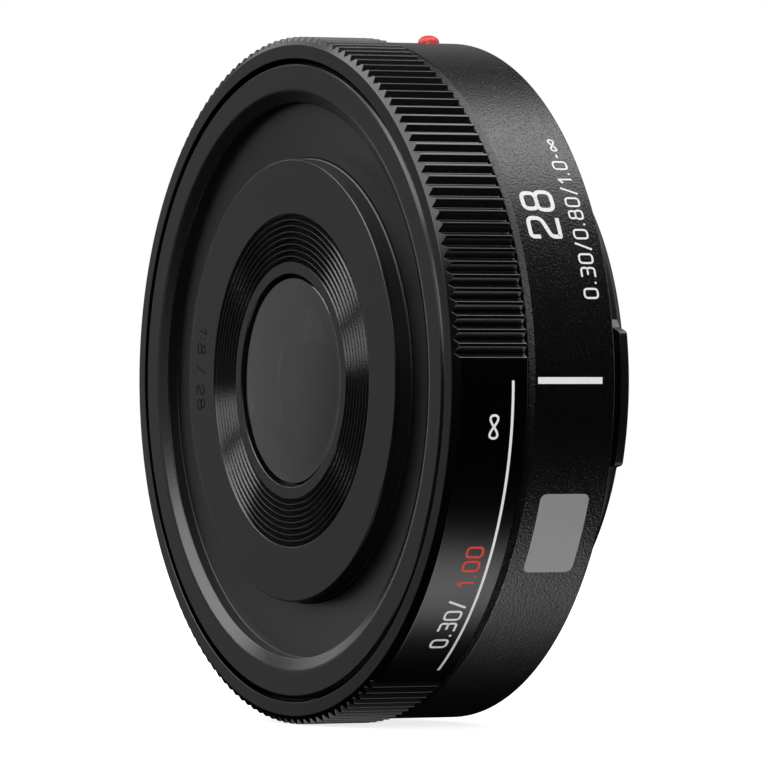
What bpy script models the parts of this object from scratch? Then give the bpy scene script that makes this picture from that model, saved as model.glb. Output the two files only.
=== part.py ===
"""Manual-focus pancake lens for a bayonet camera mount.

Lengths are in metres. Each piece is modelled about the optical axis: local Z runs forward from the mount
flange, local X to the right and local Y up. An empty turns that frame, so that the lens looks along world -Y
with +Z up and the origin is the centre of the flange's contact face. In the comments, s is the distance
forward of that face and r the distance from the axis.
"""

import math

import bmesh
import bpy
from mathutils import Matrix

MM = 0.001

# Clearances
SEAT_GAP = 0.1 * MM
RUN_GAP = 0.2 * MM
HOLE_GAP = 0.1 * MM

# Overall sizes
RING_GRIP_R = 33.55 * MM
FRONT_S = 18.1 * MM
FOCUS_TURN = math.radians(56)
FOCUS_TRAVEL = 3.5 * MM

# Bayonet mount
FLANGE_T = 2.0 * MM
CONTACT_STEP = 0.4 * MM
RELIEF_DEPTH = 0.3 * MM
MOUNT_SLEEVE_R = 25.5 * MM
MOUNT_SLEEVE_WALL = 1.5 * MM
MOUNT_SLEEVE_L = 5.3 * MM
MOUNT_SLEEVE_LEAD = 0.8 * MM
SHOULDER_W = 3.5 * MM
SHOULDER_T = 1.0 * MM
CLAW_COUNT = 4
CLAW_H = 1.7 * MM
CLAW_T = 0.9 * MM
CLAW_REAR_STEP = 0.9 * MM
CLAW_CENTRE = math.radians(-3.5)
CLAW_SPAN = math.radians(31)
CLAW_RAMP = math.radians(2)
CLAW_RAMP_DROP = 1.2 * MM
LOCK_SLOT_ANGLE = math.radians(180)
LOCK_SLOT_L = 3.4 * MM
LOCK_SLOT_W = 2.0 * MM
LOCK_SLOT_DEPTH = 1.2 * MM

# Rear barrel
BARREL_SETBACK = 0.45 * MM
BARREL_LIP_WALL = 1.0 * MM
BARREL_REAR_S = 0.55 * MM
BARREL_BAND_FRONT_S = 9.0 * MM
BARREL_CHAMFER_R = 0.5 * MM
BARREL_CHAMFER_S = 0.8 * MM
NECK_H = 1.2 * MM
NECK_WALL = 1.1 * MM
WEB_T = 1.3 * MM

# Index dot
DOT_R = 1.0 * MM
DOT_H = 0.7 * MM
DOT_S = 2.7 * MM
DOT_STEM_R = 0.7 * MM
DOT_STEM_L = 0.6 * MM

# Guide sleeve, cam ring and follower pins
SLEEVE_WALL = 1.05 * MM
SLEEVE_FLANGE_T = 1.0 * MM
CAM_GAP = 0.15 * MM
CAM_WALL = 1.25 * MM
CAM_EDGE = 0.8 * MM
CAM_REAR_GAP = 0.3 * MM
CAM_FLANGE_T = 0.9 * MM
PIN_COUNT = 3
PIN_R = 1.0 * MM
PIN_SEAT_DEPTH = 1.3 * MM
PIN_FIRST_ANGLE = math.radians(30)
SLOT_PLAY = 0.2 * MM

# Slide ring and focus ring
SLIDE_RING_T = 0.4 * MM
RING_WALL = 2.2 * MM
RING_REAR_GAP = 0.4 * MM
RING_FLANGE_T = 1.6 * MM
RING_FLANGE_GAP = 1.6 * MM
RING_NECK_GAP = 0.25 * MM
RING_CHAMFER_R = 0.87 * MM
RING_CHAMFER_S = 0.55 * MM
RIDGE_PITCH = 1.338 * MM
RIDGE_DEPTH = 0.5 * MM
RIDGE_TOP_W = 0.2 * MM
RIDGE_FLANK_W = 0.46 * MM
SCALE_DROP = 0.03 * MM
SCALE_TOP_ANGLE = math.radians(3.53)
SCALE_SPAN = math.radians(63.2)

# Front cover
COVER_GAP = 0.52 * MM
COVER_SKIRT_WALL = 1.43 * MM
COVER_FLOOR_T = 1.06 * MM
COVER_EDGE = 0.2 * MM
BEZEL_W = 2.49 * MM
BEZEL_CHAMFER_R = 1.28 * MM
BEZEL_CHAMFER_S = 0.5 * MM
DISH_WALL_H = 1.05 * MM
DISH_FALL = 0.39 * MM
COLLAR_WALL = 1.1 * MM
COLLAR_GAP = 0.25 * MM

# Front plate and lens barrel
PLATE_R = 21.56 * MM
PLATE_T = 1.1 * MM
PLATE_SKIRT_WALL = 1.16 * MM
PLATE_HOLE_RIM = 0.38 * MM
LENS_BARREL_STEP = 1.19 * MM
LENS_BARREL_WALL = 2.0 * MM
LENS_NECK_WALL = 1.4 * MM
LENS_REAR_GAP = 0.6 * MM
LENS_STOP_GAP = 0.4 * MM
CELL_WEB_S = 8.5 * MM
CELL_WEB_T = 1.2 * MM

# Lens cell and glass
CELL_WALL = 2.4 * MM
CELL_FLANGE_W = 1.5 * MM
CELL_FLANGE_T = 1.0 * MM
CELL_REAR_STEP = 0.3 * MM
CELL_RIB_S = 10.2 * MM
CELL_RIB_T = 1.2 * MM
CELL_RIB_R = 5.0 * MM
FRONT_GLASS_R = 10.0 * MM
FRONT_GLASS_T = 2.2 * MM
FRONT_GLASS_DROP = 0.35 * MM
FRONT_GLASS_CROWN = 0.3 * MM
FRONT_GLASS_HOLLOW = 0.8 * MM
ELEMENT_2_R = 8.6 * MM
ELEMENT_2_T = 2.0 * MM
ELEMENT_2_CROWN = 0.6 * MM
REAR_GLASS_R = 9.0 * MM
ELEMENT_3_T = 2.4 * MM
ELEMENT_3_HOLLOW = 0.8 * MM
ELEMENT_3_CROWN = 0.9 * MM
REAR_ELEMENT_T = 1.4 * MM
REAR_ELEMENT_CROWN = 0.4 * MM
SPACER_W = 1.0 * MM
STOP_T = 0.3 * MM
STOP_HOLE_R = 1.6 * MM
RETAINER_T = 0.8 * MM
RETAINER_RECESS = 0.05 * MM

# Rear baffle
BAFFLE_T = 0.8 * MM
BAFFLE_WINDOW_W = 26.0 * MM
BAFFLE_WINDOW_H = 18.0 * MM
BAFFLE_WINDOW_CORNER = 1.5 * MM

# Screws: head radius, head height and shank radius
MOUNT_SCREW = (1.3 * MM, 0.7 * MM, 0.7 * MM)
MOUNT_SCREW_SINK = 0.1 * MM
MOUNT_SCREW_COUNT = 4
MOUNT_SCREW_ANGLE = math.radians(45)
SLEEVE_SCREW = (1.1 * MM, 0.6 * MM, 0.7 * MM)
SLEEVE_SCREW_ANGLE = math.radians(90)
BAFFLE_SCREW = (0.9 * MM, 0.5 * MM, 0.45 * MM)
BAFFLE_SCREW_ANGLE = math.radians(30)
RING_SCREW = (0.85 * MM, 0.5 * MM, 0.5 * MM)
RING_SCREW_ANGLE = math.radians(90)
RING_SCREW_BITE = 1.2 * MM
INNER_SCREW_COUNT = 3
TIP_GAP = 0.2 * MM

# Facets round a full turn
OUTER_FACETS = 48
INNER_FACETS = 36
GLASS_FACETS = 24
DOT_FACETS = 16
SMALL_FACETS = 10
TUBE_SIDES = 8

# Steps along curved outlines
ARC_STEP = math.radians(5)
CORNER_STEPS = 3
DOME_STEPS = 5
LENS_STEPS = 4

# How far a cutter runs past what it cuts
CUT_PAST = 1.0 * MM

# Radii that follow from the sizes above, from the outside in
ring_bore_r = RING_GRIP_R - RING_WALL
neck_r = ring_bore_r - RING_NECK_GAP
barrel_bore_r = neck_r - NECK_WALL
barrel_r = RING_GRIP_R - BARREL_SETBACK
barrel_lip_r = barrel_r - BARREL_LIP_WALL
flange_r = barrel_lip_r - RUN_GAP
cover_r = ring_bore_r - COVER_GAP
cover_skirt_r = cover_r - COVER_SKIRT_WALL
bezel_inner_r = cover_r - BEZEL_W
dish_r = bezel_inner_r - BEZEL_CHAMFER_R
cover_hole_r = PLATE_R + RUN_GAP
plate_skirt_r = PLATE_R - PLATE_SKIRT_WALL
lens_barrel_r = PLATE_R + LENS_BARREL_STEP
sleeve_bore_r = lens_barrel_r + RUN_GAP
sleeve_r = sleeve_bore_r + SLEEVE_WALL
cam_bore_r = sleeve_r + CAM_GAP
cam_r = cam_bore_r + CAM_WALL
cam_flange_r = cover_skirt_r - RUN_GAP
ring_flange_r = cam_r + RING_FLANGE_GAP
claw_r = MOUNT_SLEEVE_R + CLAW_H
contact_inner_r = claw_r + CONTACT_STEP
mount_bore_r = MOUNT_SLEEVE_R - MOUNT_SLEEVE_WALL
shoulder_r = mount_bore_r - SHOULDER_W
plate_hole_r = FRONT_GLASS_R + PLATE_HOLE_RIM
front_bore_r = FRONT_GLASS_R + SEAT_GAP
cell_r = front_bore_r + CELL_WALL
cell_flange_r = cell_r + CELL_FLANGE_W
rear_bore_r = REAR_GLASS_R + SEAT_GAP

# Distances forward of the flange that follow from the sizes above, from the rear forward
web_rear_s = FLANGE_T + SEAT_GAP
web_front_s = web_rear_s + WEB_T
sleeve_rear_s = web_front_s + SEAT_GAP
sleeve_flange_s = sleeve_rear_s + SLEEVE_FLANGE_T
cam_rear_s = sleeve_flange_s + CAM_REAR_GAP
barrel_front_s = BARREL_BAND_FRONT_S + BARREL_CHAMFER_S
neck_front_s = barrel_front_s + NECK_H
slide_rear_s = neck_front_s + SEAT_GAP
slide_front_s = slide_rear_s + SLIDE_RING_T
ring_rear_s = barrel_front_s + RING_REAR_GAP
ring_flange_rear_s = slide_front_s + SEAT_GAP
ring_flange_front_s = ring_flange_rear_s + RING_FLANGE_T
cam_flange_rear_s = ring_flange_front_s + SEAT_GAP
cam_front_s = cam_flange_rear_s + CAM_FLANGE_T
dish_edge_s = FRONT_S - BEZEL_CHAMFER_S - DISH_WALL_H
dish_floor_s = dish_edge_s - DISH_FALL
cover_under_s = dish_floor_s - COVER_FLOOR_T
sleeve_front_s = cover_under_s - SEAT_GAP
plate_under_s = FRONT_S - PLATE_T
lens_front_s = plate_under_s - SEAT_GAP
lens_rear_s = FLANGE_T + LENS_REAR_GAP
lens_shoulder_s = cover_under_s - FOCUS_TRAVEL - LENS_STOP_GAP
cell_rear_s = lens_rear_s + CELL_REAR_STEP
front_glass_edge_s = FRONT_S - FRONT_GLASS_DROP
front_glass_rear_s = front_glass_edge_s - FRONT_GLASS_T
rib_front_s = CELL_RIB_S + CELL_RIB_T

# A round cutter this wide opens the cam slot to the pin's width at both faces of the wall
cam_slot_r = math.hypot(PIN_R + SLOT_PLAY, CAM_WALL / 2) / math.cos(math.pi / TUBE_SIDES)
pin_s = cam_rear_s + CAM_EDGE + cam_slot_r


for old in list(bpy.data.objects):
    bpy.data.objects.remove(old)

lens_parts = bpy.data.collections.new("prime_lens")
lens_cutters = bpy.data.collections.new("prime_lens_cutters")
for group in (lens_parts, lens_cutters):
    bpy.context.scene.collection.children.link(group)


def axis_empty(name):
    """An empty at the flange centre whose local Z is the optical axis, pointing out of the front."""
    empty = bpy.data.objects.new(name, None)
    empty.rotation_euler = (math.pi / 2, 0, 0)
    lens_parts.objects.link(empty)
    return empty


body_axis = axis_empty("body_axis")
focus_axis = axis_empty("focus_axis")
slide_axis = axis_empty("slide_axis")


def finish(name, color, roughness, metallic=0.0, transmission=0.0):
    """A plain surface finish."""
    material = bpy.data.materials.new(name)
    material.use_nodes = True
    shader = material.node_tree.nodes["Principled BSDF"]
    shader.inputs["Base Color"].default_value = (*color, 1.0)
    shader.inputs["Roughness"].default_value = roughness
    shader.inputs["Metallic"].default_value = metallic
    shader.inputs["Transmission Weight"].default_value = transmission
    return material


matte_black = finish("matte_black_metal", (0.02, 0.02, 0.02), 0.55)
textured_black = finish("textured_black_paint", (0.015, 0.015, 0.015), 0.45)
mount_black = finish("black_mount_metal", (0.025, 0.025, 0.025), 0.35, metallic=0.6)
inner_black = finish("inner_black_metal", (0.03, 0.03, 0.03), 0.7)
cam_brass = finish("cam_brass", (0.6, 0.44, 0.2), 0.35, metallic=1.0)
pin_steel = finish("pin_steel", (0.6, 0.6, 0.6), 0.3, metallic=1.0)
screw_steel = finish("blackened_screw_steel", (0.08, 0.08, 0.08), 0.4, metallic=0.8)
slide_plastic = finish("slide_plastic", (0.8, 0.8, 0.78), 0.5)
dot_red = finish("dot_red", (0.7, 0.02, 0.02), 0.25)
lens_glass = finish("coated_glass", (0.9, 0.92, 0.9), 0.02, transmission=1.0)


def place(obj, axis, material=None):
    """Files an object as a part when it has a material, and otherwise as a cutter, on an axis empty."""
    obj.parent = axis
    if material is None:
        lens_cutters.objects.link(obj)
        obj.hide_render = True
        obj.display_type = "WIRE"
    else:
        lens_parts.objects.link(obj)
        obj.data.materials.append(material)
    return obj


def turned(name, profile, facets, axis, material=None):
    """A turned piece: (r, s) points that run outwards along the front, down the outside and back."""
    points = [(r, 0.0, s) for r, s in profile]
    edges = [(i, i + 1) for i in range(len(points) - 1)]
    reaches_axis = profile[0][0] == 0 and profile[-1][0] == 0
    if not reaches_axis:
        edges.append((len(points) - 1, 0))
    mesh = bpy.data.meshes.new(name)
    mesh.from_pydata(points, edges, [])
    obj = place(bpy.data.objects.new(name, mesh), axis, material)
    screw = obj.modifiers.new("turn", "SCREW")
    screw.steps = facets
    screw.render_steps = facets
    screw.use_merge_vertices = True
    screw.merge_threshold = 1e-6
    screw.use_smooth_shade = True
    return obj


def rod(name, radius, rear, front, facets, axis, material=None):
    """A solid cylinder on the object's own Z axis."""
    return turned(name, [(0, front), (radius, front), (radius, rear), (0, rear)], facets, axis, material)


def tube(name, inner, outer, rear, front, facets, axis, material=None):
    """A plain ring of rectangular section."""
    profile = [(inner, front), (outer, front), (outer, rear), (inner, rear)]
    return turned(name, profile, facets, axis, material)


def polar(radius, angle):
    """The (x, y) point at a radius and angle about the axis."""
    return radius * math.cos(angle), radius * math.sin(angle)


def at_angle(obj, radius, angle):
    """Moves an object off the axis to a radius and angle, keeping it parallel to the axis."""
    obj.location = (*polar(radius, angle), 0)
    return obj


def pointing_out(obj, angle, forward, radius=0.0):
    """Turns an object's own Z to point straight out from the axis at an angle."""
    obj.location = (*polar(radius, angle), forward)
    obj.rotation_euler = (0, math.pi / 2, angle)
    return obj


def curve_to_mesh(name, curve, axis, material=None):
    """The mesh of a curve, with its caps welded on, as a new part or cutter."""
    guide = bpy.data.objects.new(name + "_guide", curve)
    bpy.context.scene.collection.objects.link(guide)
    evaluated = guide.evaluated_get(bpy.context.evaluated_depsgraph_get())
    mesh = bpy.data.meshes.new_from_object(evaluated)
    bpy.data.objects.remove(guide)
    welded = bmesh.new()
    welded.from_mesh(mesh)
    bmesh.ops.remove_doubles(welded, verts=welded.verts, dist=1e-7)
    bmesh.ops.recalc_face_normals(welded, faces=welded.faces)
    welded.to_mesh(mesh)
    welded.free()
    return place(bpy.data.objects.new(name, mesh), axis, material)


def spline_curve(name, points, dimensions, closed):
    """A curve of straight steps through the points."""
    curve = bpy.data.curves.new(name, "CURVE")
    curve.dimensions = dimensions
    spline = curve.splines.new("POLY")
    spline.points.add(len(points) - 1)
    for knot, point in zip(spline.points, points):
        knot.co = (*point, 1.0)
    spline.use_cyclic_u = closed
    return curve


def extruded(name, outline, rear, front, axis, material=None):
    """A flat outline of (x, y) points carried along Z from rear to front."""
    curve = spline_curve(name, [(x, y, 0.0) for x, y in outline], "2D", True)
    curve.fill_mode = "BOTH"
    curve.extrude = (front - rear) / 2
    obj = curve_to_mesh(name, curve, axis, material)
    obj.data.transform(Matrix.Translation((0, 0, (rear + front) / 2)))
    return obj


def arc(radius, start, end):
    """Points on a circle about the axis, both ends included."""
    count = max(2, math.ceil(abs(end - start) / ARC_STEP) + 1)
    turns = [start + (end - start) * i / (count - 1) for i in range(count)]
    return [polar(radius, turn) for turn in turns]


def rounded_outline(width, height, corner):
    """A rectangle with round corners, centred on the axis."""
    outline = []
    for quarter in range(4):
        turn = quarter * math.pi / 2
        sign_x = 1 if quarter in (0, 3) else -1
        sign_y = 1 if quarter in (0, 1) else -1
        for step in range(CORNER_STEPS + 1):
            x, y = polar(corner, turn + step * math.pi / 2 / CORNER_STEPS)
            outline.append((x + sign_x * (width / 2 - corner), y + sign_y * (height / 2 - corner)))
    return outline


def combine(target, other, operation):
    """Cuts one object out of another, or joins it on."""
    boolean = target.modifiers.new(other.name, "BOOLEAN")
    boolean.operation = operation
    boolean.solver = "EXACT"
    boolean.object = other


def evenly(count, first):
    """Angles spread evenly round the axis."""
    return [first + i * 2 * math.pi / count for i in range(count)]


def screws(name, size, seat_s, tip_s, radius, angles, axis, heads_forward=True):
    """Headed screws parallel to the axis. The head's underside lies on seat_s and the shank ends at tip_s."""
    head_r, head_h, shank_r = size
    for number, angle in enumerate(angles, 1):
        if heads_forward:
            head_s = seat_s + head_h
            profile = [(0, head_s), (head_r, head_s), (head_r, seat_s), (shank_r, seat_s)]
            profile += [(shank_r, tip_s), (0, tip_s)]
        else:
            head_s = seat_s - head_h
            profile = [(0, tip_s), (shank_r, tip_s), (shank_r, seat_s), (head_r, seat_s)]
            profile += [(head_r, head_s), (0, head_s)]
        at_angle(turned(f"{name}_{number}", profile, SMALL_FACETS, axis, screw_steel), radius, angle)


def holes(target, name, hole_r, rear, front, radius, angles, axis):
    """Round holes parallel to the axis, cut out of the target."""
    for number, angle in enumerate(angles, 1):
        cutter = rod(f"{target.name}_{name}_{number}", hole_r, rear, front, SMALL_FACETS, axis)
        combine(target, at_angle(cutter, radius, angle), "DIFFERENCE")


def lens_face(radius, rim, edge_s, crown):
    """Half a lens surface from the axis outwards: a parabola that rises by the crown, then a flat rim."""
    shares = [i / LENS_STEPS for i in range(LENS_STEPS + 1)]
    face = [((radius - rim) * share, edge_s + crown * (1 - share * share)) for share in shares]
    if rim:
        face.append((radius, edge_s))
    return face


def element(name, radius, rear_s, front_s, front_crown, rear_crown, front_rim=SPACER_W, rear_rim=SPACER_W):
    """A round lens with a curved front and rear surface. A negative crown is a hollow."""
    front = lens_face(radius, front_rim, front_s, front_crown)
    rear = lens_face(radius, rear_rim, rear_s, -rear_crown)
    return turned(name, front + rear[::-1], GLASS_FACETS, slide_axis, lens_glass)


# Bayonet mount: a flange with a rear sleeve, an inner shoulder for the baffle, and claws round the sleeve
mount_bayonet = turned("mount_bayonet", [
    (shoulder_r, FLANGE_T),
    (flange_r, FLANGE_T),
    (flange_r, 0),
    (contact_inner_r, 0),
    (contact_inner_r, RELIEF_DEPTH),
    (MOUNT_SLEEVE_R, RELIEF_DEPTH),
    (MOUNT_SLEEVE_R, MOUNT_SLEEVE_LEAD - MOUNT_SLEEVE_L),
    (MOUNT_SLEEVE_R - MOUNT_SLEEVE_LEAD, -MOUNT_SLEEVE_L),
    (mount_bore_r, -MOUNT_SLEEVE_L),
    (mount_bore_r, FLANGE_T - SHOULDER_T),
    (shoulder_r, FLANGE_T - SHOULDER_T),
], OUTER_FACETS, body_axis, mount_black)

claw_rear_s = CLAW_REAR_STEP - MOUNT_SLEEVE_L
claw_root_r = MOUNT_SLEEVE_R - MOUNT_SLEEVE_WALL / 2
for number, centre in enumerate(evenly(CLAW_COUNT, CLAW_CENTRE), 1):
    start = centre - CLAW_SPAN / 2
    end = centre + CLAW_SPAN / 2
    ramp_r = claw_r - CLAW_RAMP_DROP
    claw_outline = arc(claw_root_r, end, start)
    claw_outline.append(polar(ramp_r, start))
    claw_outline += arc(claw_r, start + CLAW_RAMP, end - CLAW_RAMP)
    claw_outline.append(polar(ramp_r, end))
    claw = extruded(f"claw_{number}", claw_outline, claw_rear_s, claw_rear_s + CLAW_T, body_axis)
    combine(mount_bayonet, claw, "UNION")

# The camera's lock pin drops into a short slot in the contact face
contact_mid_r = (contact_inner_r + flange_r) / 2
lock_slot = extruded(
    "lock_slot", rounded_outline(LOCK_SLOT_W, LOCK_SLOT_L, LOCK_SLOT_W / 2 - SEAT_GAP),
    -CUT_PAST, LOCK_SLOT_DEPTH, body_axis,
)
combine(mount_bayonet, at_angle(lock_slot, contact_mid_r, LOCK_SLOT_ANGLE), "DIFFERENCE")

mount_screw_angles = evenly(MOUNT_SCREW_COUNT, MOUNT_SCREW_ANGLE)
mount_head_r, mount_head_h, mount_shank_r = MOUNT_SCREW
mount_seat_s = MOUNT_SCREW_SINK + mount_head_h
screws("mount_screw", MOUNT_SCREW, mount_seat_s, web_front_s - TIP_GAP, contact_mid_r,
       mount_screw_angles, body_axis, heads_forward=False)
holes(mount_bayonet, "head_hole", mount_head_r + HOLE_GAP, -CUT_PAST, mount_seat_s + SEAT_GAP,
      contact_mid_r, mount_screw_angles, body_axis)
holes(mount_bayonet, "screw_hole", mount_shank_r + HOLE_GAP, 0, FLANGE_T + CUT_PAST,
      contact_mid_r, mount_screw_angles, body_axis)

# Rear barrel: the textured outer band, a lip over the flange, an inner web and the neck under the focus ring
rear_barrel = turned("rear_barrel", [
    (barrel_bore_r, neck_front_s),
    (neck_r, neck_front_s),
    (neck_r, barrel_front_s),
    (barrel_r - BARREL_CHAMFER_R, barrel_front_s),
    (barrel_r, BARREL_BAND_FRONT_S),
    (barrel_r, BARREL_REAR_S),
    (barrel_lip_r, BARREL_REAR_S),
    (barrel_lip_r, web_rear_s),
    (sleeve_r, web_rear_s),
    (sleeve_r, web_front_s),
    (barrel_bore_r, web_front_s),
], OUTER_FACETS, body_axis, textured_black)
holes(rear_barrel, "mount_screw_hole", mount_shank_r + HOLE_GAP, FLANGE_T - CUT_PAST,
      web_front_s + CUT_PAST, contact_mid_r, mount_screw_angles, body_axis)

# Index dot: a red dome on a stem in a blind hole at the top of the barrel
dot_base_r = barrel_r + SEAT_GAP
dome_turns = [i * math.pi / 2 / DOME_STEPS for i in range(DOME_STEPS + 1)]
dot_profile = [(DOT_R * math.sin(turn), dot_base_r + DOT_H * math.cos(turn)) for turn in dome_turns]
dot_profile += [(DOT_STEM_R, dot_base_r), (DOT_STEM_R, barrel_r - DOT_STEM_L), (0, barrel_r - DOT_STEM_L)]
index_dot = turned("index_dot", dot_profile, DOT_FACETS, body_axis, dot_red)
pointing_out(index_dot, math.pi / 2, DOT_S)
dot_hole = rod("dot_hole", DOT_STEM_R + HOLE_GAP, barrel_r - DOT_STEM_L - SEAT_GAP, barrel_r + CUT_PAST,
               SMALL_FACETS, body_axis)
combine(rear_barrel, pointing_out(dot_hole, math.pi / 2, DOT_S), "DIFFERENCE")

# Guide sleeve: a tube with straight slots for the pins, screwed to the barrel's web by its base
guide_sleeve = turned("guide_sleeve", [
    (sleeve_bore_r, sleeve_front_s),
    (sleeve_r, sleeve_front_s),
    (sleeve_r, sleeve_flange_s),
    (barrel_bore_r - SEAT_GAP, sleeve_flange_s),
    (barrel_bore_r - SEAT_GAP, sleeve_rear_s),
    (sleeve_bore_r, sleeve_rear_s),
], OUTER_FACETS, body_axis, inner_black)
pin_angles = evenly(PIN_COUNT, PIN_FIRST_ANGLE)
slot_half_w = PIN_R + SLOT_PLAY
for number, angle in enumerate(pin_angles, 1):
    slot_l = FOCUS_TRAVEL + 2 * slot_half_w
    slot_outline = rounded_outline(slot_l, 2 * slot_half_w, slot_half_w - SEAT_GAP)
    slot = extruded(f"straight_slot_{number}", slot_outline, -SLEEVE_WALL, SLEEVE_WALL, body_axis)
    pointing_out(slot, angle, pin_s + FOCUS_TRAVEL / 2, (sleeve_bore_r + sleeve_r) / 2)
    combine(guide_sleeve, slot, "DIFFERENCE")

sleeve_screw_r = (cam_r + barrel_bore_r) / 2
sleeve_screw_angles = evenly(INNER_SCREW_COUNT, SLEEVE_SCREW_ANGLE)
sleeve_shank_hole_r = SLEEVE_SCREW[2] + HOLE_GAP
screws("sleeve_screw", SLEEVE_SCREW, sleeve_flange_s + SEAT_GAP, web_rear_s + TIP_GAP, sleeve_screw_r,
       sleeve_screw_angles, body_axis)
for target in (guide_sleeve, rear_barrel):
    holes(target, "sleeve_screw_hole", sleeve_shank_hole_r, web_rear_s - CUT_PAST,
          sleeve_flange_s + CUT_PAST, sleeve_screw_r, sleeve_screw_angles, body_axis)

# Slide ring: a thin bearing ring on the barrel's neck
tube("slide_ring", barrel_bore_r + SEAT_GAP, neck_r - SEAT_GAP, slide_rear_s, slide_front_s,
     OUTER_FACETS, body_axis, slide_plastic)

# Front cover: a flat bezel, the dish round the plate, a skirt behind the ring and a collar on the sleeve
turned("front_cover", [
    (bezel_inner_r, FRONT_S),
    (cover_r - COVER_EDGE, FRONT_S),
    (cover_r, FRONT_S - COVER_EDGE),
    (cover_r, ring_flange_front_s + RUN_GAP),
    (cover_skirt_r, ring_flange_front_s + RUN_GAP),
    (cover_skirt_r, cover_under_s),
    (sleeve_r + SEAT_GAP + COLLAR_WALL, cover_under_s),
    (sleeve_r + SEAT_GAP + COLLAR_WALL, cam_front_s + COLLAR_GAP),
    (sleeve_r + SEAT_GAP, cam_front_s + COLLAR_GAP),
    (sleeve_r + SEAT_GAP, cover_under_s),
    (cover_hole_r, cover_under_s),
    (cover_hole_r, dish_floor_s),
    (dish_r, dish_edge_s),
    (dish_r, FRONT_S - BEZEL_CHAMFER_S),
], OUTER_FACETS, body_axis, matte_black)

# Rear baffle: a plate with an oblong window, screwed to the mount's inner shoulder
baffle_front_s = FLANGE_T - SHOULDER_T - SEAT_GAP
baffle_rear_s = baffle_front_s - BAFFLE_T
rear_baffle = rod("rear_baffle", mount_bore_r - SEAT_GAP, baffle_rear_s, baffle_front_s, INNER_FACETS,
                  body_axis, inner_black)
baffle_window = extruded(
    "baffle_window", rounded_outline(BAFFLE_WINDOW_W, BAFFLE_WINDOW_H, BAFFLE_WINDOW_CORNER),
    baffle_rear_s - CUT_PAST, baffle_front_s + CUT_PAST, body_axis,
)
combine(rear_baffle, baffle_window, "DIFFERENCE")
baffle_screw_r = (shoulder_r + mount_bore_r) / 2
baffle_screw_angles = evenly(INNER_SCREW_COUNT, BAFFLE_SCREW_ANGLE)
screws("baffle_screw", BAFFLE_SCREW, baffle_rear_s - SEAT_GAP, FLANGE_T - TIP_GAP, baffle_screw_r,
       baffle_screw_angles, body_axis, heads_forward=False)
for target in (rear_baffle, mount_bayonet):
    holes(target, "baffle_screw_hole", BAFFLE_SCREW[2] + HOLE_GAP, baffle_rear_s - CUT_PAST,
          FLANGE_T + CUT_PAST, baffle_screw_r, baffle_screw_angles, body_axis)

# Focus ring: grooves milled round it leave ridges, and the scale patch like one broad ridge. An inner flange
# carries the cam ring
valley_r = RING_GRIP_R - RIDGE_DEPTH
flank_turn = RIDGE_FLANK_W / valley_r
ridge_base_half = (RIDGE_TOP_W / 2 + RIDGE_FLANK_W) / valley_r
ridge_top_half = RIDGE_TOP_W / 2 / RING_GRIP_R
scale_foot_angle = SCALE_TOP_ANGLE - SCALE_SPAN
groove_arc = 2 * math.pi - SCALE_SPAN + 2 * ridge_top_half
groove_count = round(groove_arc * RING_GRIP_R / RIDGE_PITCH)
ridge_step = groove_arc / groove_count
ring_outline = [polar(valley_r, scale_foot_angle - flank_turn)]
ring_outline += arc(RING_GRIP_R - SCALE_DROP, scale_foot_angle, SCALE_TOP_ANGLE)
ring_outline.append(polar(valley_r, SCALE_TOP_ANGLE + flank_turn))
for ridge in range(groove_count - 1):
    centre = SCALE_TOP_ANGLE - ridge_top_half + (ridge + 1) * ridge_step
    for radius, angle in (
        (valley_r, centre - ridge_base_half),
        (RING_GRIP_R, centre - ridge_top_half),
        (RING_GRIP_R, centre + ridge_top_half),
        (valley_r, centre + ridge_base_half),
    ):
        ring_outline.append(polar(radius, angle))
focus_ring = extruded("focus_ring", ring_outline, ring_rear_s, FRONT_S, focus_axis, matte_black)

ring_bore = turned("ring_bore", [
    (0, FRONT_S + CUT_PAST),
    (ring_bore_r, FRONT_S + CUT_PAST),
    (ring_bore_r, ring_flange_front_s),
    (ring_flange_r, ring_flange_front_s),
    (ring_flange_r, ring_flange_rear_s),
    (ring_bore_r, ring_flange_rear_s),
    (ring_bore_r, ring_rear_s - CUT_PAST),
    (0, ring_rear_s - CUT_PAST),
], OUTER_FACETS, focus_axis)
combine(focus_ring, ring_bore, "DIFFERENCE")

# The chamfer cutter follows the slope past both ends of the cut
chamfer_past_s = CUT_PAST * RING_CHAMFER_S / RING_CHAMFER_R
ring_chamfer = turned("ring_chamfer", [
    (RING_GRIP_R - RING_CHAMFER_R - CUT_PAST, FRONT_S + chamfer_past_s),
    (RING_GRIP_R + 2 * CUT_PAST, FRONT_S + chamfer_past_s),
    (RING_GRIP_R + 2 * CUT_PAST, FRONT_S - RING_CHAMFER_S - chamfer_past_s),
    (RING_GRIP_R + CUT_PAST, FRONT_S - RING_CHAMFER_S - chamfer_past_s),
], OUTER_FACETS, focus_axis)
combine(focus_ring, ring_chamfer, "DIFFERENCE")

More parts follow.
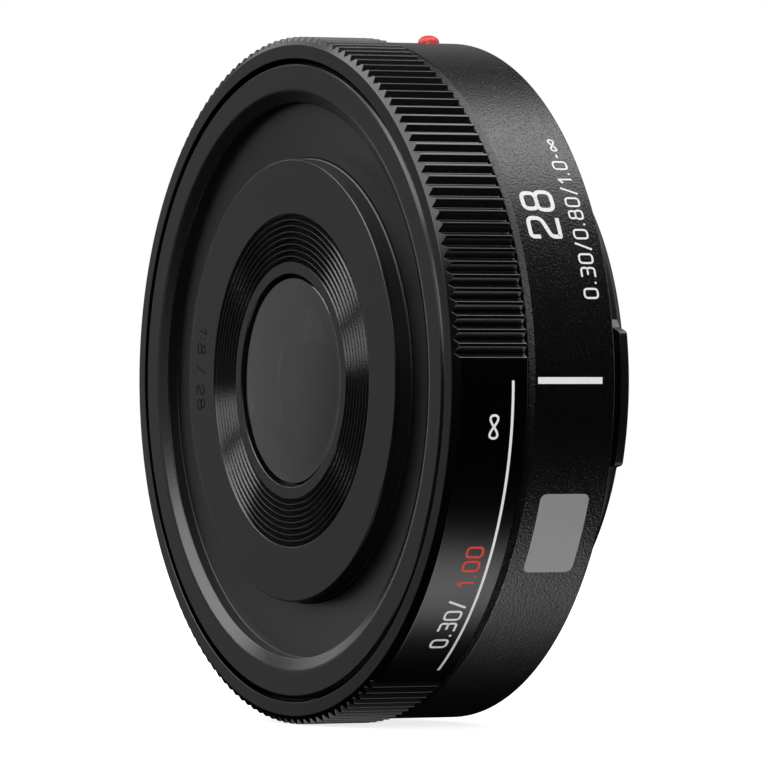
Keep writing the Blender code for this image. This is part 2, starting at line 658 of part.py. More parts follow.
# Cam ring: a tube with slanting slots. A flange on it is screwed to the focus ring's flange
cam_ring = turned("cam_ring", [
    (cam_bore_r, cam_front_s),
    (cam_flange_r, cam_front_s),
    (cam_flange_r, cam_flange_rear_s),
    (cam_r, cam_flange_rear_s),
    (cam_r, cam_rear_s),
    (cam_bore_r, cam_rear_s),
], OUTER_FACETS, focus_axis, cam_brass)
cam_mid_r = (cam_bore_r + cam_r) / 2
slot_overrun = slot_half_w / cam_bore_r
slot_turn = FOCUS_TURN + 2 * slot_overrun
slot_steps = math.ceil(slot_turn / ARC_STEP)
for number, angle in enumerate(pin_angles, 1):
    helix = []
    for step in range(slot_steps + 1):
        turn = slot_turn * step / slot_steps - slot_overrun
        rise = FOCUS_TRAVEL * turn / FOCUS_TURN
        helix.append((*polar(cam_mid_r, angle - turn), pin_s + rise))
    helix_curve = spline_curve(f"cam_slot_{number}", helix, "3D", False)
    helix_curve.bevel_depth = cam_slot_r
    helix_curve.bevel_resolution = 2
    helix_curve.use_fill_caps = True
    combine(cam_ring, curve_to_mesh(f"cam_slot_{number}", helix_curve, focus_axis), "DIFFERENCE")

ring_screw_r = (ring_flange_r + cam_flange_r) / 2
ring_screw_angles = evenly(INNER_SCREW_COUNT, RING_SCREW_ANGLE)
ring_tip_s = ring_flange_front_s - RING_SCREW_BITE
screws("ring_screw", RING_SCREW, cam_front_s + SEAT_GAP, ring_tip_s, ring_screw_r, ring_screw_angles,
       focus_axis)
for target in (cam_ring, focus_ring):
    holes(target, "ring_screw_hole", RING_SCREW[2] + HOLE_GAP, ring_tip_s - SEAT_GAP,
          cam_front_s + CUT_PAST, ring_screw_r, ring_screw_angles, focus_axis)

# Front plate: the round face round the glass, with a skirt that passes through the cover
turned("front_plate", [
    (plate_hole_r, FRONT_S),
    (PLATE_R, FRONT_S),
    (PLATE_R, lens_shoulder_s + SEAT_GAP),
    (plate_skirt_r, lens_shoulder_s + SEAT_GAP),
    (plate_skirt_r, plate_under_s),
    (plate_hole_r, plate_under_s),
], OUTER_FACETS, slide_axis, matte_black)

# Lens barrel: slides in the guide sleeve, carries the front plate on its neck and the cell on an inner web
lens_neck_r = plate_skirt_r - SEAT_GAP
lens_neck_bore_r = lens_neck_r - LENS_NECK_WALL
lens_wall_r = lens_barrel_r - LENS_BARREL_WALL
cell_web_front_s = CELL_WEB_S + CELL_WEB_T
lens_barrel = turned("lens_barrel", [
    (lens_neck_bore_r, lens_front_s),
    (lens_neck_r, lens_front_s),
    (lens_neck_r, lens_shoulder_s),
    (lens_barrel_r, lens_shoulder_s),
    (lens_barrel_r, lens_rear_s),
    (lens_wall_r, lens_rear_s),
    (lens_wall_r, CELL_WEB_S),
    (cell_r + SEAT_GAP, CELL_WEB_S),
    (cell_r + SEAT_GAP, cell_web_front_s),
    (lens_neck_bore_r, cell_web_front_s),
], OUTER_FACETS, slide_axis, inner_black)

# Follower pins: seated in the lens barrel, through the straight slot and into the slanting slot
pin_inner_r = lens_barrel_r - PIN_SEAT_DEPTH
for number, angle in enumerate(pin_angles, 1):
    pin = rod(f"follower_pin_{number}", PIN_R, pin_inner_r, cam_r - SEAT_GAP, SMALL_FACETS,
              slide_axis, pin_steel)
    pointing_out(pin, angle, pin_s)
    pin_hole = rod(f"pin_hole_{number}", PIN_R + HOLE_GAP, pin_inner_r - SEAT_GAP,
                   lens_barrel_r + CUT_PAST, SMALL_FACETS, slide_axis)
    combine(lens_barrel, pointing_out(pin_hole, angle, pin_s), "DIFFERENCE")

# Lens cell: a tube with a stepped bore for the glass, an inner rib at the stop and a flange on the web
front_seat_s = front_glass_rear_s - SEAT_GAP
cell_flange_rear_s = cell_web_front_s + SEAT_GAP
turned("lens_cell", [
    (front_bore_r, lens_front_s),
    (cell_r, lens_front_s),
    (cell_r, cell_flange_rear_s + CELL_FLANGE_T),
    (cell_flange_r, cell_flange_rear_s + CELL_FLANGE_T),
    (cell_flange_r, cell_flange_rear_s),
    (cell_r, cell_flange_rear_s),
    (cell_r, cell_rear_s),
    (rear_bore_r, cell_rear_s),
    (rear_bore_r, CELL_RIB_S),
    (CELL_RIB_R, CELL_RIB_S),
    (CELL_RIB_R, rib_front_s),
    (ELEMENT_2_R + SEAT_GAP, rib_front_s),
    (ELEMENT_2_R + SEAT_GAP, front_seat_s),
    (front_bore_r, front_seat_s),
], INNER_FACETS, slide_axis, inner_black)

# Glass ahead of the stop, with the spacer that keeps the two lenses apart
spacer_bore_r = ELEMENT_2_R - SPACER_W
element("front_element", FRONT_GLASS_R, front_glass_rear_s, front_glass_edge_s, FRONT_GLASS_CROWN,
        -FRONT_GLASS_HOLLOW, front_rim=0.0, rear_rim=FRONT_GLASS_R - spacer_bore_r)
element_2_rear_s = rib_front_s + SEAT_GAP
element_2_front_s = element_2_rear_s + ELEMENT_2_T
element("element_2", ELEMENT_2_R, element_2_rear_s, element_2_front_s, ELEMENT_2_CROWN, 0.0)
tube("front_spacer", spacer_bore_r, ELEMENT_2_R, element_2_front_s + SEAT_GAP, front_seat_s,
     GLASS_FACETS, slide_axis, inner_black)

# The stop and the glass behind it, held in by a ring at the rear of the cell
stop_front_s = CELL_RIB_S - SEAT_GAP
stop_rear_s = stop_front_s - STOP_T
tube("aperture_stop", STOP_HOLE_R, REAR_GLASS_R, stop_rear_s, stop_front_s, GLASS_FACETS,
     slide_axis, inner_black)
element_3_front_s = stop_rear_s - SEAT_GAP
element_3_rear_s = element_3_front_s - ELEMENT_3_T
element("element_3", REAR_GLASS_R, element_3_rear_s, element_3_front_s, -ELEMENT_3_HOLLOW, ELEMENT_3_CROWN)
retainer_rear_s = cell_rear_s + RETAINER_RECESS
retainer_front_s = retainer_rear_s + RETAINER_T
tube("rear_retaining_ring", REAR_GLASS_R - SPACER_W, REAR_GLASS_R, retainer_rear_s, retainer_front_s,
     GLASS_FACETS, slide_axis, inner_black)
rear_element_rear_s = retainer_front_s + SEAT_GAP
rear_element_front_s = rear_element_rear_s + REAR_ELEMENT_T
element("rear_element", REAR_GLASS_R, rear_element_rear_s, rear_element_front_s, REAR_ELEMENT_CROWN, 0.0)
tube("rear_spacer", REAR_GLASS_R - SPACER_W, REAR_GLASS_R, rear_element_front_s + SEAT_GAP,
     element_3_rear_s - SEAT_GAP, GLASS_FACETS, slide_axis, inner_black)


def shade_parts():
    """Keeps the mesh that each part's modifiers make, shaded smooth up to its corners."""
    bpy.context.view_layer.update()
    graph = bpy.context.evaluated_depsgraph_get()
    solid_parts = [obj for obj in lens_parts.objects if obj.type == "MESH"]
    meshes = [bpy.data.meshes.new_from_object(obj.evaluated_get(graph)) for obj in solid_parts]
    for obj, mesh in zip(solid_parts, meshes):
        obj.modifiers.clear()
        obj.data = mesh
        mesh.shade_smooth()
        mesh.set_sharp_from_angle(angle=math.radians(30))


shade_parts()
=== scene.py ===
import math

import bmesh
import bpy
import numpy as np
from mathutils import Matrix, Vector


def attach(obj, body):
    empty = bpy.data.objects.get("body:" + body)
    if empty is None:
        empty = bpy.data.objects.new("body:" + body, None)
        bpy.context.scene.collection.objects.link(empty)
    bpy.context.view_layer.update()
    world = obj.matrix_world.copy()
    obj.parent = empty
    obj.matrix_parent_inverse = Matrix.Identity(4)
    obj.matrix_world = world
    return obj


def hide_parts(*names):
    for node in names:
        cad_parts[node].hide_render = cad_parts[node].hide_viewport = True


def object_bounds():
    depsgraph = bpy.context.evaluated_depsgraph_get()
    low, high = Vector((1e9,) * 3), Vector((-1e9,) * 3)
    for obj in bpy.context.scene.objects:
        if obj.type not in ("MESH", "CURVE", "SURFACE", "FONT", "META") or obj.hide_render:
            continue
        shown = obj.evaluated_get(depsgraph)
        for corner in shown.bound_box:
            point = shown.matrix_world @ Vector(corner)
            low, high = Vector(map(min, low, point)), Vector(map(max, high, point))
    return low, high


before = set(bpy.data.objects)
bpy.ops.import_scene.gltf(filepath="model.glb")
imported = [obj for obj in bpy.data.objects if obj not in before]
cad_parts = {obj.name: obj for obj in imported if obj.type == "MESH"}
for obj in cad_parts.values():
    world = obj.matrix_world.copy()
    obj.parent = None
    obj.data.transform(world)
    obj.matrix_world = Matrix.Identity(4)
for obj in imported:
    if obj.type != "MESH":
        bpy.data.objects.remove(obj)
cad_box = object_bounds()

# Bayonet mount: the metal plate that locks into a camera, turned from one bar and finished satin black.
# Its flat contact face carries four counterbored screws and the slot for the camera's lock pin, and its
# sleeve carries four claws.
MM = 0.001
EASE_STEPS = 4
EASE_LIMIT = 0.4
EASE_PAST = 1.25
SHARP_ANGLE = math.radians(40)
SAME_POINT_M = 1e-6
LENS_AXES = np.array([[1, 0, 0], [0, 0, 1], [0, -1, 0]], float)
REAR_AXES = np.array([[0, 0, 1], [1, 0, 0], [0, 1, 0]], float)


def eased(outline):
    """Rounds an outline of (r, s, ease) rows, in mm. A corner with an ease is swapped for the quadratic curve
    (1-t)^2 a + 2t(1-t) corner + t^2 b between two points that lie that far along its sides, with one more
    point just past each, so that the flats beside it stay flat. A corner with no ease stays one point, and no
    ease takes more than a set share of a side."""
    rows = np.array(outline, float)
    corner = rows[:, :2]
    back = np.roll(corner, 1, 0) - corner
    ahead = np.roll(corner, -1, 0) - corner
    back_l = np.linalg.norm(back, axis=1)[:, None]
    ahead_l = np.linalg.norm(ahead, axis=1)[:, None]
    cut = np.minimum(rows[:, 2:], EASE_LIMIT * np.minimum(back_l, ahead_l))
    start = corner + back / back_l * cut
    end = corner + ahead / ahead_l * cut
    t = np.linspace(0, 1, EASE_STEPS + 1)[None, :, None]
    curve = (1 - t) ** 2 * start[:, None] + 2 * t * (1 - t) * corner[:, None] + t ** 2 * end[:, None]
    before = corner + back / back_l * cut * EASE_PAST
    after = corner + ahead / ahead_l * cut * EASE_PAST
    run = np.concatenate([before[:, None], curve, after[:, None]], 1)
    wanted = np.ones(run.shape[:2], bool)
    wanted[rows[:, 2] == 0, 1:] = False
    return run[wanted]


def spun(profile, steps, axes=LENS_AXES, origin=(0, 0, 0)):
    """Carries a profile of (r, s) rows round an axis, as right * r cos(turn) + up * r sin(turn) + forward * s
    from its origin."""
    turn = np.linspace(0, 2 * math.pi, steps, endpoint=False)
    r = profile[:, :1]
    s = profile[:, 1:]
    local = np.stack([r * np.cos(turn), r * np.sin(turn), s + 0 * turn], -1)
    return np.array(origin, float) + local @ axes


def woven(rows, columns, wrap_rows=True):
    """Quads between neighbours of a grid: row i to row i + 1 and column j to column j + 1. The last column
    always meets the first, and the last row does so if asked."""
    i = np.arange(rows if wrap_rows else rows - 1)[:, None]
    j = np.arange(columns)[None, :]
    i_next = (i + 1) % rows
    j_next = (j + 1) % columns
    corners = (i * columns + j, i_next * columns + j, i_next * columns + j_next, i * columns + j_next)
    return np.stack(corners, -1).reshape(-1, 4).tolist()


def made(name, points, faces, finish):
    """A mesh object from points in mm, with its doubles merged so that poles close, shaded smooth up to its
    sharp corners."""
    mesh = bpy.data.meshes.new(name)
    mesh.from_pydata((np.reshape(points, (-1, 3)) * MM).tolist(), [], faces)
    joined = bmesh.new()
    joined.from_mesh(mesh)
    bmesh.ops.remove_doubles(joined, verts=joined.verts, dist=SAME_POINT_M)
    joined.to_mesh(mesh)
    joined.free()
    mesh.shade_smooth()
    mesh.set_sharp_from_angle(angle=SHARP_ANGLE)
    mesh.materials.append(finish)
    piece = bpy.data.objects.new(name, mesh)
    bpy.context.scene.collection.objects.link(piece)
    return piece


def turned(name, outline, steps, finish, axes=LENS_AXES, origin=(0, 0, 0)):
    """A turned piece: its eased outline spun round. An outline that starts on the axis is a solid, whose ends
    close in a pole, and any other is a ring."""
    profile = eased(outline)
    ring = profile[0, 0] > 0
    faces = woven(len(profile), steps, wrap_rows=ring)
    return made(name, spun(profile, steps, axes, origin), faces, finish)


def seated(piece, body, slot, *nodes):
    """Hangs a piece on the empty of its body and hides the CAD nodes that it stands for. Its slot is not
    used.
    """
    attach(piece, body)
    if nodes:
        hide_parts(*nodes)


def cut_out(piece, cutters):
    """Takes the cutters' shapes out of a piece, and removes the cutters."""
    for cutter in cutters:
        cut = piece.modifiers.new("cut", "BOOLEAN")
        cut.operation = "DIFFERENCE"
        cut.solver = "EXACT"
        cut.object = cutter
    graph = bpy.context.evaluated_depsgraph_get()
    mesh = bpy.data.meshes.new_from_object(piece.evaluated_get(graph))
    piece.modifiers.clear()
    piece.data = mesh
    mesh.shade_smooth()
    mesh.set_sharp_from_angle(angle=SHARP_ANGLE)
    for cutter in cutters:
        bpy.data.meshes.remove(cutter.data)


def wired(tree, kind, inputs=None, **settings):
    """Adds a node with these settings. Each input gets a value, or a link where the value is a socket."""
    node = tree.nodes.new("ShaderNode" + kind)
    for name, value in settings.items():
        setattr(node, name, value)
    for key, value in (inputs or {}).items():
        if isinstance(value, bpy.types.NodeSocket):
            tree.links.new(value, node.inputs[key])
        else:
            node.inputs[key].default_value = value
    return node


def effect(name, inputs, outputs):
    """An empty node group with these float inputs and outputs, and its two end nodes."""
    group = bpy.data.node_groups.new(name, "ShaderNodeTree")
    for label, value in inputs.items():
        socket = group.interface.new_socket(label, in_out="INPUT", socket_type="NodeSocketFloat")
        socket.default_value = value
    for label in outputs:
        group.interface.new_socket(label, in_out="OUTPUT", socket_type="NodeSocketFloat")
    return group, group.nodes.new("NodeGroupInput"), group.nodes.new("NodeGroupOutput")


def spread(tree, value, low, high, to_low=0.0, to_high=1.0):
    """Carries values from low to high over to the range to_low to to_high, and clips what lies outside."""
    ends = {"Value": value, "From Min": low, "From Max": high, "To Min": to_low, "To Max": to_high}
    return wired(tree, "MapRange", ends).outputs["Result"]


def blended(tree, share, first, second):
    """The colour that goes from the first to the second as the share goes from 0 to 1. Each of the two is a
    plain colour or a socket."""
    ends = [end if isinstance(end, bpy.types.NodeSocket) else (*end, 1) for end in (first, second)]
    return wired(tree, "Mix", {"Factor": share, 6: ends[0], 7: ends[1]}, data_type="RGBA").outputs[2]


# The grain of a sprayed or blasted surface, and the slow haze that handling leaves on it. The middle of the
# noise's range is stretched to 0 to 1.
NOISE_LOW = 0.3
NOISE_HIGH = 0.7
HAZE_MM = 12.0
grain_group, grain_in, grain_out = effect(
    "surface_grain", {"Grain mm": 0.1, "Haze mm": HAZE_MM}, ("Grain", "Haze"))
grain_place = wired(grain_group, "TexCoord").outputs["Object"]
for label, detail in (("Grain", 2.0), ("Haze", 4.0)):
    size_mm = grain_in.outputs[label + " mm"]
    per_metre = wired(grain_group, "Math", {0: 1 / MM, 1: size_mm}, operation="DIVIDE").outputs[0]
    clouds = wired(grain_group, "TexNoise", {"Vector": grain_place, "Scale": per_metre, "Detail": detail})
    cloud_share = spread(grain_group, clouds.outputs["Fac"], NOISE_LOW, NOISE_HIGH)
    grain_group.links.new(cloud_share, grain_out.inputs[label])

# The fine rings that a lathe tool leaves: noise along the distance from the lens's axis
lathe_group, lathe_in, lathe_out = effect("turning_marks", {"Pitch mm": 0.05}, ("Marks",))
lathe_place = wired(lathe_group, "TexCoord").outputs["Object"]


def radius_of(tree, place):
    """The distance of a place from the lens's axis: the length of (x, 0, z)."""
    flat_place = wired(tree, "VectorMath", {0: place, 1: (1, 0, 1)}, operation="MULTIPLY").outputs[0]
    return wired(tree, "VectorMath", {0: flat_place}, operation="LENGTH").outputs["Value"]


from_axis = radius_of(lathe_group, lathe_place)
pitch_mm = lathe_in.outputs["Pitch mm"]
pitch_m = wired(lathe_group, "Math", {0: pitch_mm, 1: MM}, operation="MULTIPLY").outputs[0]
rings = wired(lathe_group, "Math", {0: from_axis, 1: pitch_m}, operation="DIVIDE").outputs[0]
ring_noise = wired(lathe_group, "TexNoise", {"W": rings, "Scale": 1.0, "Detail": 2.0}, noise_dimensions="1D")
ring_share = spread(lathe_group, ring_noise.outputs["Fac"], NOISE_LOW, NOISE_HIGH)
lathe_group.links.new(ring_share, lathe_out.inputs["Marks"])


def shader_of(name, sockets):
    """A new material with these sockets set on its Principled shader, its node tree and that shader."""
    finish = bpy.data.materials.new(name)
    finish.use_nodes = True
    shader = finish.node_tree.nodes["Principled BSDF"]
    for label, value in sockets.items():
        shader.inputs[label].default_value = value
    return finish, finish.node_tree, shader


def grained(name, dark, pale, rough, grain_mm, relief_mm, haze_mm=HAZE_MM, marks_mm=None, **sockets):
    """A coat with grain: the colour goes from dark to pale with the grain, the roughness between the two ends
    of rough with the haze, and the relief lifts the grain, or the lathe's marks where marks_mm is given."""
    plain = {label.replace("_", " "): value for label, value in sockets.items()}
    finish, tree, shader = shader_of(name, plain)
    grain = wired(tree, "Group", node_tree=grain_group)
    grain.inputs["Grain mm"].default_value = grain_mm
    grain.inputs["Haze mm"].default_value = haze_mm
    height = grain.outputs["Grain"]
    tree.links.new(blended(tree, height, dark, pale), shader.inputs["Base Color"])
    tree.links.new(spread(tree, grain.outputs["Haze"], 0, 1, *rough), shader.inputs["Roughness"])
    if marks_mm:
        marks = wired(tree, "Group", node_tree=lathe_group)
        marks.inputs["Pitch mm"].default_value = marks_mm
        height = marks.outputs["Marks"]
    relief = wired(tree, "Bump", {"Height": height, "Strength": 1.0, "Distance": relief_mm * MM})
    tree.links.new(relief.outputs["Normal"], shader.inputs["Normal"])
    return finish


BODY_STEPS = 240
FLANGE_R = 31.9
FLANGE_FRONT_S = 2.0
CONTACT_INNER_R = 27.6
CONTACT_MID_R = (FLANGE_R + CONTACT_INNER_R) / 2
CONTACT_STEP = 0.3
SLEEVE_R = 25.5
SLEEVE_REAR_S = -5.3
SLEEVE_LEAD = 0.8
BAYONET_BORE_R = 24.0
SHOULDER_R = 20.5
SHOULDER_REAR_S = 1.0

satin_black = grained(
    "satin_black_metal", dark=(0.003, 0.003, 0.003), pale=(0.006, 0.006, 0.006), rough=(0.30, 0.40),
    grain_mm=0.06, relief_mm=0.003, marks_mm=0.06)
bayonet = turned("bayonet_flange", [
    (SHOULDER_R, FLANGE_FRONT_S, 0.08),
    (FLANGE_R, FLANGE_FRONT_S, 0.08),
    (FLANGE_R, 0.0, 0.12),
    (CONTACT_INNER_R, 0.0, 0.1),
    (CONTACT_INNER_R, CONTACT_STEP, 0.05),
    (SLEEVE_R, CONTACT_STEP, 0.08),
    (SLEEVE_R, SLEEVE_REAR_S + SLEEVE_LEAD, 0.1),
    (SLEEVE_R - SLEEVE_LEAD, SLEEVE_REAR_S, 0.1),
    (BAYONET_BORE_R, SLEEVE_REAR_S, 0.1),
    (BAYONET_BORE_R, SHOULDER_REAR_S, 0.05),
    (SHOULDER_R, SHOULDER_REAR_S, 0.08),
], BODY_STEPS, satin_black)

MOUNT_SCREW_TURNS = np.radians([45, 135, 225, 315])
CUTTER_STEPS = 40
CUTTER_PROUD = 1.0
COUNTERBORE_R = 1.42
COUNTERBORE_DEPTH = 0.9
COUNTERBORE_LEAD_R = COUNTERBORE_R + 0.1
COUNTERBORE_LEAD_TOP = 0.04
COUNTERBORE_LEAD_FOOT = -0.06
LOCK_SLOT_W = 2.0
LOCK_SLOT_L = 3.4
LOCK_SLOT_DEPTH = 1.2


def spot(radius, turn, s):
    """The point at that distance from the lens's axis, that turn from the right and that far forward, in mm:
    (r cos(turn), -s, r sin(turn))."""
    return np.array([radius * math.cos(turn), -s, radius * math.sin(turn)])


counterbores = [
    turned("counterbore", [
        (0.0, CUTTER_PROUD, 0.0),
        (COUNTERBORE_LEAD_R, CUTTER_PROUD, 0.0),
        (COUNTERBORE_LEAD_R, COUNTERBORE_LEAD_TOP, 0.0),
        (COUNTERBORE_R, COUNTERBORE_LEAD_FOOT, 0.0),
        (COUNTERBORE_R, -COUNTERBORE_DEPTH, 0.0),
        (0.0, -COUNTERBORE_DEPTH, 0.0),
    ], CUTTER_STEPS, satin_black, REAR_AXES, spot(CONTACT_MID_R, turn, 0))
    for turn in MOUNT_SCREW_TURNS
]
slot_turn = np.linspace(0, 2 * math.pi, CUTTER_STEPS, endpoint=False)
slot_y = np.cos(slot_turn) * LOCK_SLOT_W / 2
slot_z = np.sin(slot_turn) * LOCK_SLOT_W / 2 + np.sign(np.sin(slot_turn)) * (LOCK_SLOT_L - LOCK_SLOT_W) / 2
slot_s = np.array([LOCK_SLOT_DEPTH, -CUTTER_PROUD])[:, None]
slot_points = np.stack([slot_y + 0 * slot_s - CONTACT_MID_R, -slot_s + 0 * slot_y, slot_z + 0 * slot_s], -1)
slot_ends = [list(range(CUTTER_STEPS)), list(range(2 * CUTTER_STEPS - 1, CUTTER_STEPS - 1, -1))]
slot_faces = woven(2, CUTTER_STEPS, wrap_rows=False) + slot_ends
lock_slot = made("lock_slot", slot_points, slot_faces, satin_black)
cut_out(bayonet, counterbores + [lock_slot])
seated(bayonet, "lens_body", "mount_metal", "mount_bayonet")

# Bayonet claws: four short lugs round the sleeve, milled from the same bar, with a ramp at each end that
# leads them behind the camera's ring.
CLAW_TURNS = np.radians([-3.5, 86.5, 176.5, 266.5])
CLAW_R = 27.2
CLAW_ROOT_R = 25.2
CLAW_REAR_S = -4.4
CLAW_FRONT_S = -3.5
CLAW_EDGE = np.array([
    (-16.2, 25.4), (-14.1, 27.05), (-13.6, CLAW_R), (13.0, CLAW_R),
    (13.6, 27.05), (14.7, 26.05), (15.0, 25.95), (17.2, 25.4),
])
CLAW_BETWEEN = np.linspace(-13, 12.5, 26)
claw_profile = eased([
    (CLAW_ROOT_R, CLAW_FRONT_S, 0.0), (CLAW_R, CLAW_FRONT_S, 0.1), (CLAW_R, CLAW_REAR_S, 0.1),
    (CLAW_ROOT_R, CLAW_REAR_S, 0.0),
])
claw_turn = np.sort(np.concatenate([CLAW_EDGE[:, 0], CLAW_BETWEEN]))
claw_top = np.interp(claw_turn, CLAW_EDGE[:, 0], CLAW_EDGE[:, 1])
claw_share = (claw_profile[:, 0] - CLAW_ROOT_R) / (CLAW_R - CLAW_ROOT_R)
claw_r = CLAW_ROOT_R + claw_share * (claw_top[:, None] - CLAW_ROOT_R)
claw_points = []
claw_faces = []
for centre in CLAW_TURNS:
    angle = (centre + np.radians(claw_turn))[:, None]
    first = len(claw_points) * claw_r.size
    grid = np.stack([claw_r * np.cos(angle), -claw_profile[:, 1] + 0 * angle, claw_r * np.sin(angle)], -1)
    claw_points.append(grid)
    rows, columns = claw_r.shape
    sides = np.array(woven(rows, columns, wrap_rows=False))[:, ::-1] + first
    claw_faces += sides.tolist()
    last = first + (rows - 1) * columns
    claw_faces.append(list(range(first + columns - 1, first - 1, -1)))
    claw_faces.append(list(range(last, last + columns)))
claws = made("bayonet_claws", claw_points, claw_faces, satin_black)
seated(claws, "lens_body", "mount_metal")

# Mount screws: four blackened steel screws with cross heads. They are sunk in the counterbores and driven
# through the flange into the barrel.
screw_steel = grained(
    "blackened_steel", dark=(0.02, 0.02, 0.02), pale=(0.05, 0.05, 0.05), rough=(0.28, 0.42), grain_mm=0.05,
    relief_mm=0.004, haze_mm=1.5, Metallic=0.85)
UPWARD_AXES = np.eye(3)
SCREW_STEPS = 48
CROSS_STEPS = 12
HEAD_FLAT = 0.8
CROSS_ARM = 0.17
CROSS_ARM_SLOPE = 0.06
CROSS_REACH = 0.68
CROSS_REACH_SLOPE = 0.25
CROSS_DEPTH = 0.75
HEAD_TOP_BAND = 0.05


def cross_screw(name, place, head_r, head_h, shank_r, length):
    """A screw seen from behind the lens: its outline spun round, then its top sunk by a cross, whose depth
    falls from the middle and whose arms are bands |x| < w or |y| < w up to the cross's reach. The cross's
    sizes are shares of the head's."""
    top = np.linspace(0, HEAD_FLAT * head_r, CROSS_STEPS)
    rim = eased([
        (HEAD_FLAT * head_r, 0.0, 0.0), (head_r, 0.0, 0.15 * head_r), (head_r, -head_h, 0.05),
        (shank_r, -head_h, 0.0), (shank_r, -length, 0.1), (0.0, -length, 0.0),
    ])
    profile = np.concatenate([np.stack([top, 0 * top], -1)[:-1], rim])
    points = spun(profile, SCREW_STEPS, UPWARD_AXES)
    across = np.abs(points[..., 0])
    along = np.abs(points[..., 1])
    arm = np.clip((CROSS_ARM * head_r - np.minimum(across, along)) / (CROSS_ARM_SLOPE * head_r), 0, 1)
    reach = np.clip((CROSS_REACH * head_r - np.maximum(across, along)) / (CROSS_REACH_SLOPE * head_r), 0, 1)
    on_top = points[..., 2] > -HEAD_TOP_BAND * head_h
    points[..., 2] -= CROSS_DEPTH * head_h * arm * reach * on_top
    points = np.array(place) + points @ REAR_AXES
    return made(name, points, woven(len(profile), SCREW_STEPS, wrap_rows=False), screw_steel)


MOUNT_SCREW_S = 0.1
for number, turn in enumerate(MOUNT_SCREW_TURNS, 1):
    screw = cross_screw(f"mount_screw_{number}_head", spot(CONTACT_MID_R, turn, MOUNT_SCREW_S),
                        head_r=1.3, head_h=0.7, shank_r=0.7, length=3.1)
    seated(screw, "lens_body", "screw_steel", f"mount_screw_{number}")

# Rear barrel: the fixed outer barrel, turned from aluminium, with a leather-like black paint on its broad
# band and on the bevel where the focus ring begins.
BARREL_R = 33.1
BARREL_BAND_FRONT_S = 9.2
BARREL_BEVEL_R = 32.7
BARREL_STEP_S = 9.8
BARREL_NOSE_R = 31.1
BARREL_NOSE_S = 11.0
BARREL_BORE_R = 30.0
BARREL_REAR_S = 0.55
FLANGE_RECESS_R = 32.1
BARREL_FLOOR_REAR_S = 2.1
BARREL_FLOOR_FRONT_S = 3.4
BARREL_HOLE_R = 24.0
PEBBLE_RELIEF = 0.034
barrel_paint, tree, shader = shader_of("leather_paint", {"Specular IOR Level": 0.5})
place = wired(tree, "TexCoord").outputs["Object"]
wander = wired(tree, "TexNoise", {"Vector": place, "Scale": 3600.0, "Detail": 2.0}).outputs["Color"]
stray_ends = {"Fac": 0.00015, "Color1": place, "Color2": wander}
strayed = wired(tree, "MixRGB", stray_ends, blend_type="ADD").outputs[0]
pebbles = wired(tree, "TexVoronoi", {"Vector": strayed, "Scale": 5200.0}, feature="SMOOTH_F1")
wrinkles = wired(tree, "TexNoise", {"Vector": strayed, "Scale": 4600.0, "Detail": 3.0, "Distortion": 0.6})
pebble_height = spread(tree, pebbles.outputs["Distance"], 0.0, 0.6, 1.0, 0.0)
wrinkle_height = spread(tree, wrinkles.outputs["Fac"], NOISE_LOW, NOISE_HIGH)
leather = wired(tree, "Math", {0: pebble_height, 1: wrinkle_height}, operation="MULTIPLY").outputs[0]
relief = wired(tree, "Bump", {"Height": leather, "Strength": 1.0, "Distance": PEBBLE_RELIEF * MM})
tree.links.new(relief.outputs["Normal"], shader.inputs["Normal"])
coat = blended(tree, leather, (0.001, 0.001, 0.001), (0.002, 0.002, 0.002))
tree.links.new(coat, shader.inputs["Base Color"])
tree.links.new(spread(tree, leather, 0, 1, 0.32, 0.28), shader.inputs["Roughness"])

barrel = turned("rear_barrel_painted", [
    (BARREL_BORE_R, BARREL_NOSE_S, 0.05),
    (BARREL_NOSE_R, BARREL_NOSE_S, 0.1),
    (BARREL_NOSE_R, BARREL_STEP_S, 0.0),
    (BARREL_BEVEL_R, BARREL_STEP_S, 0.08),
    (BARREL_R, BARREL_BAND_FRONT_S, 0.06),
    (BARREL_R, BARREL_REAR_S, 0.15),
    (FLANGE_RECESS_R, BARREL_REAR_S, 0.08),
    (FLANGE_RECESS_R, BARREL_FLOOR_REAR_S, 0.0),
    (BARREL_HOLE_R, BARREL_FLOOR_REAR_S, 0.05),
    (BARREL_HOLE_R, BARREL_FLOOR_FRONT_S, 0.05),
    (BARREL_BORE_R, BARREL_FLOOR_FRONT_S, 0.0),
], BODY_STEPS, barrel_paint)
seated(barrel, "lens_body", "textured_paint", "rear_barrel")

